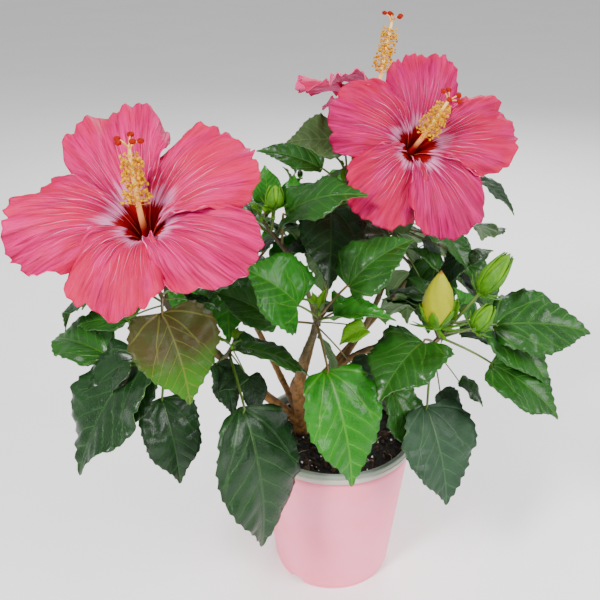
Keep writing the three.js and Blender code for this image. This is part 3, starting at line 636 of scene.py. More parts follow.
def petal_material(name, pale, deep, streak, red, halo, eye, throat):
    """Pale veins that fork as they fan out from a dark red eye through a pale halo."""
    g = Graph(name)
    x, y, _ = g.uv()
    drift = g.times(g.island(), 17.0)

    def drawn_out(across, along, scale, detail, roughness=0.5):
        return g.noise(g.vector(g.times(x, across), g.times(y, along), drift), scale, detail, roughness)

    fan = drawn_out(5.0, 0.9, 2.2, 4.0, 0.6)
    fine = drawn_out(16.0, 1.4, 2.0, 3.0, 0.6)
    broad = g.noise(g.vector(x, y, drift), 2.6, 3.0)
    colour = g.mix(g.ramp(fan, 0.38, 0.64), rgb(*pale), rgb(*deep))
    colour = g.mix(g.ramp(fine, 0.5, 0.68, 0.0, 0.7), colour, rgb(*streak))
    reddened = g.ramp(g.plus(broad, g.times(g.island(), 0.3)), 0.55, 0.85, 0.0, 0.6)
    colour = g.mix(reddened, colour, rgb(*red))
    border = g.math("MAXIMUM", g.ramp(g.math("ABSOLUTE", x), 0.72, 1.0), g.ramp(y, 0.86, 1.0))
    colour = g.mix(g.times(border, g.ramp(broad, 0.4, 0.65, 0.0, 0.55)), colour, rgb(*PETAL_CORAL))
    reach = g.plus(y, g.times(g.minus(fan, 0.5), 0.5))
    colour = g.mix(g.ramp(reach, 0.38, 0.2, 0.0, 0.8), colour, rgb(*halo))
    bend = drawn_out(1.5, 1.2, 1.5, 2.0)
    across = g.plus(x, g.times(g.minus(bend, 0.5), 0.3))
    veins = []
    for count, start, width in ((6.0, 0.1, 0.036), (12.0, 0.34, 0.04)):
        off = g.math("FRACT", g.plus(g.times(across, count), 0.5))
        line = g.ramp(g.math("ABSOLUTE", g.minus(off, 0.5)), width, 0.25 * width)
        veins.append(g.times(line, g.ramp(y, start, start + 0.12)))
    worn = drawn_out(9.0, 1.5, 1.5, 3.0)
    line = g.times(g.math("MAXIMUM", *veins), g.ramp(y, 0.86, 0.3, 0.0, 0.86))
    line = g.times(line, g.ramp(worn, 0.36, 0.6, 0.12, 1.0))
    colour = g.mix(line, colour, rgb(*PETAL_VEIN))
    edge = g.plus(y, g.times(g.minus(fine, 0.5), 0.22))
    colour = g.mix(g.ramp(edge, 0.235, 0.2), colour, rgb(*eye))
    colour = g.mix(g.ramp(edge, 0.15, 0.06, 0.0, 0.6), colour, rgb(*throat))
    crepe = drawn_out(60.0, 22.0, 1.0, 2.0)
    height = g.plus(g.plus(fine, g.times(fan, 0.6)), g.times(line, 0.5))
    height = g.plus(height, g.times(crepe, g.ramp(y, 0.3, 0.9, 0.1, 0.6)))
    return g.finish(colour, 0.5, height, 0.7, 0.0009, Specular_IOR_Level=0.12)


def speckled_material(name, first, second, scale, roughness, bump=0.3, depth=0.0004, **sockets):
    """Two colours mixed by noise in the plant's own space, with a fine grain."""
    g = Graph(name)
    place = g.place()
    share = g.ramp(g.noise(place, scale, 5.0, 0.6), 0.35, 0.65)
    grain = g.noise(place, scale * 5, 3.0)
    share = g.plus(g.times(share, 0.7), g.times(g.island(), 0.3))
    colour = g.mix(share, rgb(*first), rgb(*second))
    rough = g.ramp(grain, 0.2, 0.8, roughness - 0.08, roughness + 0.08)
    return g.finish(colour, rough, grain, bump, depth, **sockets)


def bark_material():
    g = Graph("bark")
    place = g.place()
    height_up = g.split(place)[2]
    flecks = g.noise(place, 260.0, 6.0, 0.65)
    patches = g.noise(place, 60.0, 3.0)
    low = g.mix(g.ramp(flecks, 0.3, 0.7), rgb(92, 60, 26), rgb(156, 108, 54))
    high = g.mix(g.ramp(flecks, 0.3, 0.7), rgb(64, 54, 26), rgb(102, 92, 44))
    colour = g.mix(g.ramp(g.plus(height_up, g.times(patches, 0.04)), 0.19, 0.26), low, high)
    colour = g.mix(g.ramp(patches, 0.55, 0.7, 0.0, 0.4), colour, rgb(50, 32, 18))
    return g.finish(colour, g.ramp(flecks, 0.2, 0.8, 0.6, 0.85), flecks, 0.7, 0.0008)


def pot_material():
    g = Graph("pot_pink")
    place = g.place()
    haze = g.noise(place, 22.0, 4.0)
    grain = g.noise(place, 900.0, 2.0)
    colour = g.mix(g.ramp(haze, 0.3, 0.7), rgb(250, 128, 154), rgb(252, 142, 168))
    colour = g.mix(g.ramp(grain, 0.62, 0.8, 0.0, 0.25), colour, rgb(236, 116, 142))
    return g.finish(colour, g.ramp(haze, 0.3, 0.7, 0.42, 0.5), grain, 0.12, 0.0002, Specular_IOR_Level=0.4)


def column_material():
    """The bloom's central column: red foot, peach middle, pale yellow end."""
    g = Graph("column")
    _, y, _ = g.uv()
    grain = g.noise(g.place(), 700.0, 3.0)
    colour = g.mix(g.ramp(y, 1.2, 2.4), rgb(160, 4, 18), rgb(248, 168, 96))
    colour = g.mix(g.ramp(y, 2.6, 4.2), colour, rgb(250, 206, 110))
    return g.finish(colour, g.ramp(grain, 0.2, 0.8, 0.4, 0.55), grain, 0.2, 0.0003)


def bud_material(name, foot, top, tip):
    """Furled petals or sepals, shaded from foot to tip."""
    g = Graph(name)
    _, y, _ = g.uv()
    place = g.place()
    grain = g.noise(place, 420.0, 4.0)
    colour = g.mix(g.ramp(y, 0.1, 0.6), rgb(*foot), rgb(*top))
    colour = g.mix(g.ramp(grain, 0.45, 0.7, 0.0, 0.3), colour, rgb(*foot))
    colour = g.mix(g.ramp(y, 0.93, 0.99), colour, rgb(*tip))
    return g.finish(colour, g.ramp(grain, 0.2, 0.8, 0.42, 0.56), grain, 0.25, 0.0004, Specular_IOR_Level=0.2)


PETAL_CORAL, PETAL_VEIN = (192, 8, 72), (240, 192, 224)
MATERIALS = {
    "bright": leaf_material("leaf_bright", (14, 74, 4), (30, 112, 8), (80, 140, 30), 0.32, 0.12),
    "mid": leaf_material("leaf_mid", (14, 52, 8), (28, 82, 14), (64, 108, 34), 0.32, 0.14),
    "dark": leaf_material("leaf_dark", (10, 34, 12), (22, 56, 20), (48, 82, 38), 0.32, 0.14),
    "blue": leaf_material("leaf_blue", (24, 46, 30), (38, 66, 42), (64, 94, 62), 0.42, 0.03),
    "olive": leaf_material("leaf_olive", (36, 52, 24), (56, 76, 36), (84, 104, 58), 0.44, 0.03),
    "lime": leaf_material("leaf_lime", (70, 136, 4), (102, 162, 12), (140, 190, 66), 0.36, 0.08),
    "bronze": bronze_material(),
    "under": under_material("leaf_under", (56, 92, 38), (104, 138, 66)),
    "stalk": speckled_material("leaf_stalk", (48, 82, 14), (84, 104, 28), 160.0, 0.42),
    "stalk_brown": speckled_material("leaf_stalk_brown", (70, 54, 18), (98, 84, 28), 160.0, 0.45),
    "twig": speckled_material("twig_bark", (46, 34, 16), (70, 60, 26), 190.0, 0.6, 0.6, 0.0006),
    "bark": bark_material(),
    "petal": petal_material(
        "petal_face", (196, 2, 100), (162, 0, 72), (112, 0, 30), (184, 0, 50), (226, 152, 202),
        (140, 2, 8), (74, 0, 4)),
    "petal_rich": petal_material(
        "petal_rich", (174, 0, 90), (144, 0, 66), (100, 0, 34), (168, 0, 44), (228, 156, 200),
        (140, 2, 8), (74, 0, 4)),
    "petal_back": petal_material(
        "petal_back", (240, 104, 164), (232, 74, 138), (214, 44, 104), (224, 60, 106), (238, 160, 190),
        (196, 60, 60), (150, 90, 40)),
    "column": column_material(),
    "filament": speckled_material("filament", (226, 176, 60), (220, 140, 50), 300.0, 0.5),
    "anther": speckled_material(
        "anther", (188, 132, 0), (208, 154, 0), 500.0, 0.8, 0.6, 0.0004, Specular_IOR_Level=0.05),
    "stigma": speckled_material(
        "stigma", (124, 14, 0), (150, 30, 0), 600.0, 0.8, 0.6, 0.0004, Specular_IOR_Level=0.1),
    "calyx": speckled_material("calyx", (50, 98, 4), (78, 130, 10), 200.0, 0.5, Specular_IOR_Level=0.25),
    "bud_yellow": bud_material("bud_yellow", (150, 156, 0), (142, 144, 0), (116, 66, 0)),
    "bud_green": bud_material("bud_green", (60, 112, 2), (92, 140, 8), (70, 118, 8)),
    "pot": pot_material(),
    "rim_upper": speckled_material("rim_upper", (110, 121, 107), (120, 130, 116), 60.0, 0.5, 0.1, 0.0002),
    "rim_lower": speckled_material("rim_lower", (166, 158, 146), (178, 170, 158), 60.0, 0.5, 0.1, 0.0002),
    "soil": speckled_material("soil", (16, 14, 10), (38, 31, 22), 260.0, 0.9, 1.0, 0.002),
    "chip": speckled_material("bark_chip", (34, 23, 15), (84, 56, 33), 240.0, 0.85, 0.8, 0.001),
    "perlite": speckled_material("perlite", (214, 212, 204), (238, 236, 230), 500.0, 0.9, 0.6, 0.0006),
    "root": speckled_material("fine_root", (150, 124, 92), (190, 168, 134), 300.0, 0.8),
    "floor": speckled_material("floor", (247, 247, 247), (251, 251, 251), 3.0, 0.9, 0.0, 0.0001),
}


# Pot and soil

def lathe(pile, profile, tones, shape=None):
    """A turned ring from (radius, height) pairs; tones holds a name for each band."""
    turns = np.linspace(0, 2 * math.pi, POT_SIDES, endpoint=False)
    rings = []
    for radius, height in profile:
        ring = np.stack([radius * np.cos(turns), radius * np.sin(turns), np.full(POT_SIDES, height)], -1)
        rings.append(ring)
    points = np.stack(rings)
    if shape is not None:
        points = shape(points, turns)
    faces = grid_faces(len(profile), POT_SIDES, wrap=True)
    names = [tone for tone in tones for _ in range(POT_SIDES)]
    run = np.arange(len(profile))[:, None] * np.ones(POT_SIDES)
    uv = np.stack([np.broadcast_to(turns / (2 * math.pi), run.shape), run], -1)
    pile.add(points, faces, names, uv)


def flat_curve(start, corner, end, steps=4):
    """Points round a soft corner of a profile."""
    spots = on_curve([(*start, 0), (*corner, 0), (*end, 0)], np.linspace(0, 1, steps))
    return [(x, y) for x, y, _ in spots]


def make_pot():
    pile = Pile()

    def notch(points, turns):
        off = (np.degrees(turns) - NOTCH_BEARING + 180) % 360 - 180
        lift = NOTCH_HEIGHT * (1 - smooth(NOTCH_HALF_ANGLE * 0.6, NOTCH_HALF_ANGLE, np.abs(off)))
        outer = np.linalg.norm(points[..., :2], axis=-1) > FOOT_RADIUS - 4
        points[..., 2] = np.where(outer, np.maximum(points[..., 2], lift[None, :]), points[..., 2])
        return points

    wall_slope = (WALL_TOP[0] - WALL_FOOT[0]) / (WALL_TOP[1] - WALL_FOOT[1])
    profile = [(0.5, 0), (FOOT_RADIUS - 6, 0), (FOOT_RADIUS - 3, 0), (FOOT_RADIUS - 0.5, 0)]
    profile += flat_curve((FOOT_RADIUS - 0.4, 0), (FOOT_RADIUS, 0), (FOOT_RADIUS, 0.5))
    profile += flat_curve((FOOT_RADIUS, 1.7), (FOOT_RADIUS - 0.9, 2.2), (FOOT_RADIUS + 0.3, 2.8), 5)
    profile += flat_curve((FOOT_RADIUS + 0.7, 3.4), (FOOT_RADIUS + 1.8, 5.4), (49.6, 8.4), 5)
    for height in np.linspace(WALL_FOOT[1], WALL_TOP[1], 14):
        profile.append((WALL_FOOT[0] + wall_slope * (height - WALL_FOOT[1]), height))
    inner = WALL_TOP[0] - WALL_THICKNESS
    inside = [(inner, WALL_TOP[1]), (inner - wall_slope * 14, WALL_TOP[1] - 14), (40, 106), (0.5, 106)]
    tones = ["pot"] * len(profile) + ["rim_upper"] * (len(inside) - 1)
    lathe(pile, profile + inside, tones, shape=notch)
    pile.piece("pot_wall", "pot", ["pot"])

    rim = Pile()
    middle = (RIM_FOOT + RIM_TOP) / 2
    out, inner = RIM_RADIUS, RIM_INNER_RADIUS
    lower = flat_curve((out - 0.9, RIM_FOOT), (out - 0.1, RIM_FOOT), (out, RIM_FOOT + 0.8))
    lower += [(out, middle - 0.7)]
    lower += flat_curve((out - 0.1, middle - 0.3), (out - 0.9, middle), (out - 0.5, middle + 0.3))
    upper = [(out - 0.3, middle + 0.8), (out - 0.3, RIM_TOP - 1.2)]
    upper += flat_curve((out - 0.4, RIM_TOP - 0.8), (out - 0.6, RIM_TOP), (out - 1.6, RIM_TOP))
    upper += flat_curve((inner + 1.2, RIM_TOP), (inner, RIM_TOP), (inner, RIM_TOP - 1.2))
    upper += [(inner - 0.1, RIM_FOOT), (out - 0.9, RIM_FOOT)]
    tones = ["rim_lower"] * (len(lower) - 1) + ["rim_upper"] * len(upper)
    lathe(rim, lower + upper, tones)
    rim.piece("rim_band", "pot_rim", ["pot_rim"])


def lump(x, y, scale, seed):
    return noise.fractal((x * scale, y * scale, seed), 0.8, 2.1, 4)


def soil_level(x, y):
    heap = 1.6 * math.exp(-((x + 26) ** 2 + (y - 9) ** 2) / 500)
    return SOIL_HEIGHT + heap + 1.5 * lump(x, y, 0.07, 3.0) + 0.9 * lump(x, y, 0.35, 9.0)


def soil_spot(rng, reach):
    """A seeded place on the soil, within the square root of reach of its radius."""
    turn, share = rng.uniform(0, 2 * math.pi), math.sqrt(rng.uniform(0, reach))
    return SOIL_RADIUS * share * math.cos(turn), SOIL_RADIUS * share * math.sin(turn)


def make_soil(rng):
    pile = Pile()
    turns = np.linspace(0, 2 * math.pi, SOIL_SIDES, endpoint=False)
    rows = []
    for share in np.linspace(0.01, 1, SOIL_RINGS):
        ring = [(SOIL_RADIUS * share * math.cos(t), SOIL_RADIUS * share * math.sin(t)) for t in turns]
        rows.append([(x, y, soil_level(x, y)) for x, y in ring])
    rows.append([(x, y, SOIL_HEIGHT - 8) for x, y, _ in rows[-1]])
    faces = [grid_faces(SOIL_RINGS + 1, SOIL_SIDES, wrap=True), cap_faces(0, SOIL_SIDES, flip=True)]
    pile.add(rows, np.concatenate(faces), "soil")
    for _ in range(CRUMBS):
        x, y = soil_spot(rng, 0.97)
        size = rng.uniform(0.5, 1.6)
        ball(pile, (x, y, soil_level(x, y) + 0.3), (size, size * 0.7), "soil",
             rng.normal(size=3), sides=6, steps=3)
    pile.piece("soil_surface", "soil", ["soil"])
    make_soil_bits(rng)


def make_soil_bits(rng):
    """Bark chips, perlite and fine roots that lie on the soil."""
    bits = Pile()
    for number in range(CHIPS):
        large = number < LARGE_CHIPS
        x, y = soil_spot(rng, 0.86 if large else 0.94)
        lengths, widths = ((8, 14), (2.2, 3.4)) if large else ((2.0, 6.5), (0.7, 1.8))
        long, wide = rng.uniform(*lengths), rng.uniform(*widths)
        lie = heading(rng.uniform(0, 360), rng.uniform(-14, 24))
        foot = np.array([x, y, soil_level(x, y) + 0.8])
        line = foot + lie * np.linspace(-long / 2, long / 2, 4)[:, None]
        tube(bits, line, [0.5 * wide, wide, 0.9 * wide, 0.4 * wide], "chip", sides=4)
    for _ in range(PERLITE):
        x, y = soil_spot(rng, 0.95)
        size = rng.uniform(0.4, 1.5)
        ball(bits, (x, y, soil_level(x, y) + 0.5), (size, size * rng.uniform(0.6, 1)), "perlite",
             rng.normal(size=3), sides=6, steps=3)
    for _ in range(FINE_ROOTS):
        x, y = soil_spot(rng, 0.8)
        course, line = rng.uniform(0, 360), []
        for _ in range(9):
            course += rng.uniform(-38, 38)
            x, y = x + 1.7 * math.cos(math.radians(course)), y + 1.7 * math.sin(math.radians(course))
            if math.hypot(x, y) > SOIL_RADIUS - 2:
                break
            line.append((x, y, soil_level(x, y) + rng.uniform(0.3, 1.2)))
        if len(line) > 3:
            tube(bits, line, 0.22, "root", sides=4)
    bits.piece("soil_bits", "soil", [])


# Wood

def trunk_radius(share):
    height = share * (TRUNK[2][2] - TRUNK[0][2]) - (122 - TRUNK[0][2])
    flare = 1 + ROOT_FLARE * np.exp(-np.maximum(height, 0) / FLARE_RISE)
    swell, place, spread = KNOT
    knot = 1 + swell * np.exp(-(((share - place) / spread) ** 2))
    return np.interp(share, [0, 1], TRUNK_RADII) * flare * knot


def bark_relief(seed, ridges, rings):
    """Lengthwise ridges, leaf scars and small lumps on a limb."""
    def relief(turns, run):
        swell = []
        for turn in turns:
            spot = (ridges * math.cos(turn), ridges * math.sin(turn), run * 0.09 + seed)
            rough = (2 * math.cos(turn), 2 * math.sin(turn), run * 0.5 + seed)
            swell.append(1 + 0.13 * noise.noise(spot) + 0.09 * noise.noise(rough))
        scar = math.exp(-(((run % rings) - 0.5 * rings) / 0.9) ** 2)
        return np.array(swell) * (1 + 0.12 * scar)
    return relief


def make_wood():
    pile = Pile()
    radii = trunk_radius(np.linspace(0, 1, TRUNK_STEPS))
    tube(pile, stem_line(TRUNK, TRUNK_STEPS), radii, "bark", 28, bark_relief(1.0, 2.2, 17))
    for number, (path, radii) in enumerate(BOUGHS.values()):
        line = stem_line(path, BOUGH_STEPS)
        inward = line[0] - 2.0 * unit(line[1] - line[0])
        line = np.concatenate([[inward], line])
        swollen = np.linspace(*radii, len(line)) * (1 + 0.35 * np.exp(-np.arange(len(line)) / 5.0))
        tube(pile, line, swollen, "bark", 20, bark_relief(7.0 * number, 1.6, 14 + number % 4))
    pile.piece("trunk_and_boughs", "bark", ["trunk", *BOUGHS])


# Leaves

def outline(place):
    """Half width of a blade at a share of its length, as a share of the widest."""
    place = np.asarray(place)
    body = np.sin(math.pi * place ** LEAF_SHOULDER).clip(0) ** LEAF_FULLNESS
    return body * (1 - DRIP_TIP * smooth(0.62, 0.97, place))


def leaf_frame(path, row, nudge=(0, 0)):
    node, petiole, bearing, rise, length, width, turn, pitch, roll, fold = row[:10]
    root = on_curve(path, node)
    base = root + petiole * heading(bearing, rise)
    corner = root + 0.6 * (base - root) + np.array([0, 0, PETIOLE_LIFT * petiole])
    forward = heading(turn + nudge[0], pitch + nudge[1])
    right = turned(heading(turn + nudge[0] - 90, 0), forward, -roll)
    return {
        "root": root, "base": base, "corner": corner, "forward": forward, "right": right,
        "up": np.cross(right, forward), "length": length, "width": width, "fold": math.radians(fold),
        "tip": base + length * forward,
    }


def blade_points(leaf, v, s, wave=0.0, droop=0.0, teeth=1.0):
    """Middle surface of a blade at shares v of its length and s of its half width."""
    length, width = leaf["length"], leaf["width"]
    half = np.maximum(PETIOLE_RADIUS * (1 - v), 0.5 * width * outline(v))
    saw = (v * TEETH) % 1.0
    window = smooth(0.06, 0.2, v) * (1 - smooth(0.95, 1.0, v))
    tooth = teeth * TOOTH_DEPTH * width * window * (saw ** 1.4 - 0.35)
    side = (half + tooth * np.abs(s) ** 7) * s
    lobe = LEAF_LOBE * side ** 2 / width * (1 - v) ** 3
    beside = np.abs(side) / length
    phase = (v - 0.8 * beside - beside ** 2) / VEIN_SPACING
    dome = np.abs(np.sin(math.pi * phase)) * smooth(0.02, 0.1, beside) * (1 - smooth(0.9, 1.0, v))
    gully = -np.exp(-(beside / 0.03) ** 2) * 0.5
    run = np.hypot(beside, v)
    turn = np.arctan2(beside, np.maximum(v, 1e-6)) + 0.55 * run
    for bearing in PALM_BEARINGS:
        gully = gully - 1.5 * np.exp(-(run * (turn - bearing) / 0.035) ** 2) * (1 - smooth(0.35, 0.6, run))
    pleat = QUILT_HEIGHT * length * (dome + gully)
    turn = 2 * math.pi * (2.1 * v + wave * 3 + 0.25 * np.sign(s))
    ripple = wave * length * (0.06 * np.sin(turn) + 0.016 * np.sin(2.7 * turn)) * s ** 2 * outline(v)
    sag = -droop * length * (0.13 * v ** 3 + 0.06 * (np.abs(s) * np.sin(math.pi * v.clip(0, 1))) ** 2)
    arch = LEAF_ARCH * length * 4 * v * (1 - v)
    lift = arch + np.abs(side) * math.sin(leaf["fold"]) + pleat + ripple + sag
    points = (leaf["base"] + leaf["forward"] * (length * v - lobe)[..., None]
              + leaf["right"] * (side * math.cos(leaf["fold"]))[..., None]
              + leaf["up"] * lift[..., None])
    uv = np.stack([side / length, v - lobe / length], -1)
    return points, uv


def leaf_mesh(pile, leaf, tone, rng):
    small = leaf["length"] < SMALL_LEAF
    rows = TEETH * (2 if small else ROWS_PER_TOOTH) + 1
    columns = BLADE_COLUMNS // 2 + 1 if small else BLADE_COLUMNS + 1
    t = np.linspace(0, 1, rows)
    span = np.linspace(-1, 1, columns)
    v, s = np.meshgrid(t, np.sign(span) * np.abs(span) ** 1.1, indexing="ij")
    wave, droop = rng.uniform(0.3, 1.0), rng.uniform(0.1, 0.9)
    middle, uv = blade_points(leaf, v, s, wave, droop)
    normal = normals_of(middle)
    normal = np.where((normal @ leaf["up"])[..., None] < 0, -normal, normal)
    thick = 0.5 * BLADE_THICKNESS
    sheet(pile, middle + thick * normal, middle - thick * normal, (tone, "under"), uv)
    stalk = on_curve([leaf["root"], leaf["corner"], leaf["base"]], np.linspace(0, 1, 12))
    rib_v = np.linspace(0.03, 0.9, 12)
    rib, _ = blade_points(leaf, rib_v, np.zeros(12), 0, droop, 0)
    radii = np.concatenate([np.linspace(1.1, 0.9, 12), np.linspace(0.85, 0.2, 12)]) * PETIOLE_RADIUS
    radii *= np.clip(leaf["length"] / 50, 0.6, 1.15)
    rib -= leaf["up"] * (0.55 * radii[12:, None])
    brown = tone in ("bronze", "olive") or rng.uniform() < 0.3
    tube(pile, np.concatenate([stalk, rib]), radii, "stalk_brown" if brown else "stalk", sides=6)


def seeded_row(roll, bearing, drop):
    """Row of a leaf that grows by the rule. Its numbers are rolled in the order that they stand here."""
    length = 44 + 30 * roll()
    return (
        0.1 + 0.85 * roll(), 16 + 20 * roll(), bearing, -10 - drop + 50 * roll(),
        length, (0.64 + 0.14 * roll()) * length,
        bearing + 30 * (roll() - 0.5), -12 - 0.7 * drop - 42 * roll(),
        24 * (roll() - 0.5), 4 + 10 * roll(),
    )


class Packed:
    """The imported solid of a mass, to see which of the rule's twigs and leaves grew in it."""

    def __init__(self, name):
        mesh = frame["nodes"][name].data
        points = np.empty(len(mesh.vertices) * 3, np.float32)
        mesh.vertices.foreach_get("co", points)
        self.points = points.reshape(-1, 3) / MM

    def near(self, point, distance):
        return np.linalg.norm(self.points - point, axis=1).min() < distance

    def leaf(self, path, row):
        for nudge in NUDGES:
            leaf = leaf_frame(path, row, nudge)
            if self.near(leaf["tip"], 0.02):
                return leaf
        return None


def young_shoots(pile, twigs, path, rng, tone):
    """Small new leaves and thin stipules round a tip."""
    for number in range(4):
        bearing = 137.5 * number + rng.uniform(0, 60)
        length = rng.uniform(9, 17)
        row = (1.0 - 0.06 * number, rng.uniform(3, 8), bearing, rng.uniform(35, 75), length,
               0.5 * length, bearing + rng.uniform(-20, 20), rng.uniform(20, 65), 0, 24)
        leaf_mesh(pile, leaf_frame(path, row), tone, rng)
    for number in range(5):
        root = on_curve(path, 1.0 - 0.05 * number)
        spike = heading(72 * number + rng.uniform(0, 40), rng.uniform(20, 75))
        line = root + spike * np.linspace(0, rng.uniform(4, 7), 4)[:, None]
        tube(twigs, line, [0.5, 0.4, 0.25, 0.1], "stalk", 4)
    ball(twigs, on_curve(path, 1.0), (2.6, 1.4), "calyx", heading(0, 90))


def grow_mass(number, name, mass, twigs, rng):
    """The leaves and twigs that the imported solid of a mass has, by the source's rule."""
    pile, packed, path = Pile(), Packed(name), mass["stem"]
    relief = bark_relief(3.0 * number, 1.3, 7)
    tube(twigs, stem_line(path, 22), np.linspace(*STEM_RADII, 22), "twig", 12, relief)
    for row in mass["leaves"]:
        leaf = packed.leaf(path, row)
        if leaf:
            leaf_mesh(pile, leaf, row[10], rng)
    count, leaves, middle, spread, drop, tones = mass["fill"]
    roll = dice(SEED + SEED_STEP * number)
    limbs = [path]
    for i in range(count):
        share = (i + 0.5) / count * 2 - 1
        bearing = middle + spread * share + 20 * (roll() - 0.5)
        start = on_curve(path, 0.15 + 0.5 * roll())
        length = TWIG_LENGTHS[0] + (TWIG_LENGTHS[1] - TWIG_LENGTHS[0]) * roll()
        corner = start + 0.5 * length * heading(bearing, TWIG_RISES[0])
        end = corner + 0.5 * length * heading(bearing, TWIG_RISES[1])
        limbs.append([start, corner, end] if packed.near(end, TWIG_RADII[1] + 0.05) else None)
    for i, limb in enumerate(limbs):
        if i and limb:
            relief = bark_relief(i, 1.2, 6)
            tube(twigs, stem_line(limb, 16), np.linspace(*TWIG_RADII, 16), "twig", 8, relief)
        for k in range(leaves):
            place = (0.5 + (k + i * leaves) * GOLDEN_SHARE) % 1
            row = seeded_row(roll, middle + spread * (2 * place - 1), drop * (k % 2))
            leaf = packed.leaf(limb, row) if limb else None
            if leaf:
                leaf_mesh(pile, leaf, tones[k % len(tones)], rng)
    return pile, packed, [limb for limb in limbs if limb]


def clear_of(others, leaf):
    """True where a small leaf's blade cuts none of the larger ones."""
    v, s = np.meshgrid(np.linspace(0.08, 1, 8), np.linspace(-1, 1, 5), indexing="ij")
    points, _ = blade_points(leaf, v, s)
    flat = BVHTree.FromPolygons(points.reshape(-1, 3).tolist(), grid_faces(8, 5).tolist())
    return not others.overlap(flat)


def finer_sprig(pile, twigs, packed, others, limbs, tones, rng):
    """One thin twig from a limb with small leaves, where the mass has its own leaves near."""
    root = on_curve(limbs[rng.integers(len(limbs))], rng.uniform(0.15, 0.95))
    bearing, rise = rng.uniform(0, 360), rng.uniform(-15, 50)
    end = root + rng.uniform(18, 44) * heading(bearing, rise)
    path = [root, 0.5 * (root + end) + [0, 0, 2.5], end]
    leaves = []
    for node in (0.45, 0.75, 1.0):
        row = (
            node, rng.uniform(7, 18), bearing + rng.uniform(-80, 80), rng.uniform(-10, 40),
            rng.uniform(18, 34), rng.uniform(12, 20), bearing + rng.uniform(-80, 80), rng.uniform(-60, 10),
            rng.uniform(-15, 15), 10,
        )
        leaf = leaf_frame(path, row)
        middle = 0.5 * (leaf["tip"] + leaf["base"])
        inside = packed.near(leaf["tip"], SPRIG_ROOM) and packed.near(middle, SPRIG_ROOM)
        if inside and clear_of(others, leaf):
            leaves.append(leaf)
    if leaves:
        tube(twigs, stem_line(path, 10), np.linspace(1.0, 0.55, 10), "twig", 6)
    for leaf in leaves:
        leaf_mesh(pile, leaf, tones[rng.integers(len(tones))], rng)


def grow_foliage(twigs):
    grown = {
        name: grow_mass(number, name, mass, twigs, np.random.default_rng(100 + number))
        for number, (name, mass) in enumerate(MASSES.items())
    }
    points, faces, start = [], [], 0
    for pile, _, _ in grown.values():
        points += pile.points
        faces += (np.concatenate(pile.faces) + start).tolist()
        start += pile.count
    others = BVHTree.FromPolygons(np.concatenate(points).tolist(), faces)
    for number, (name, (pile, packed, limbs)) in enumerate(grown.items()):
        rng = np.random.default_rng(200 + number)
        for _ in range(SPRIGS):
            finer_sprig(pile, twigs, packed, others, limbs, MASSES[name]["fill"][5], rng)
        for limb in limbs[1:]:
            young_shoots(pile, twigs, limb, rng, "bright")
        if name not in FLOWERING:
            young_shoots(pile, twigs, MASSES[name]["stem"], rng, "lime")
        pile.piece("leaves_" + name.removeprefix("foliage_"), SLOTS[name], [name])


# Blooms and buds

def petal_points(bloom, axes, bearing, length, place, s, rng):
    """Middle surface of a petal at shares place of its reach and s of its half angle."""
    axis, side, up = axes
    scale = bloom["scale"]
    waves = rng.uniform(0, 2 * math.pi, 8)
    edge = np.maximum(np.abs(s) ** 5, place ** 9)
    teeth = 3.0 * np.abs(np.sin(5.5 * s + waves[2])) + 1.7 * np.abs(np.sin(15 * s + waves[0])) - 2.4
    teeth = teeth + 0.7 * np.sin(41 * s + waves[1])
    reach = length * BLOOM_RADIUS * (1 - PETAL_ROUND * np.abs(s) ** 2.6) + teeth * place ** 6
    radius = scale * (THROAT_RADIUS + (reach - THROAT_RADIUS) * place ** 1.15)
    spread = PETAL_SPREAD + (THROAT_SPREAD - PETAL_SPREAD) * (1 - place) ** 3 - 0.06 * place ** 4
    angle = math.radians(bearing) - spread * s * (1 + 0.02 * np.sin(23 * place + waves[3]) * np.abs(s) ** 3)
    cup = scale * (bloom["depth"] * (1 - (1 - place) ** 3) - BLOOM_REFLEX * place ** 3)
    rim = (4.0 * np.sin(6.5 * s + waves[4]) + 2.4 * np.sin(15 * s + waves[5])) * place ** 3.5
    sides = 3.4 * np.sin(12 * place + waves[6] + 1.5 * np.sign(s)) * np.abs(s) ** 4 * place
    frill = 1.2 * np.sin(40 * s + 26 * place + waves[7]) * edge * place
    pleats = 0.75 * np.sin(34 * s + 3 * np.sin(5 * place) + waves[0]) * np.sqrt(place) * (1 - edge)
    height = cup + PETAL_OVERLAP * s * place + rim + sides + frill + pleats
    return (np.array(bloom["throat"], float) + side * (radius * np.cos(angle))[..., None]
            + up * (radius * np.sin(angle))[..., None] + axis * height[..., None])


def make_petals(name, bloom, rng):
    pile = Pile()
    axis = heading(*bloom["axis"])
    side = heading(bloom["axis"][0] + 90, 0)
    axes = (axis, side, np.cross(axis, side))
    rows, columns = np.linspace(0.01, 1, PETAL_ROWS + 1), np.linspace(-1, 1, PETAL_COLUMNS + 1)
    place, s = np.meshgrid(rows, columns, indexing="ij")
    for bearing, length in zip(bloom["petals"], bloom["reach"]):
        middle = petal_points(bloom, axes, bearing, length, place, s, rng)
        normal = normals_of(middle)
        normal = np.where((normal @ axis).mean() < 0, -normal, normal)
        thick = 0.5 * PETAL_THICKNESS
        uv = np.stack([s, place], -1)
        sheet(pile, middle + thick * normal, middle - thick * normal, (bloom["tone"], "petal_back"), uv)
    pile.piece("petals_" + name.removeprefix("bloom_"), SLOTS[name], [name])
    return axes


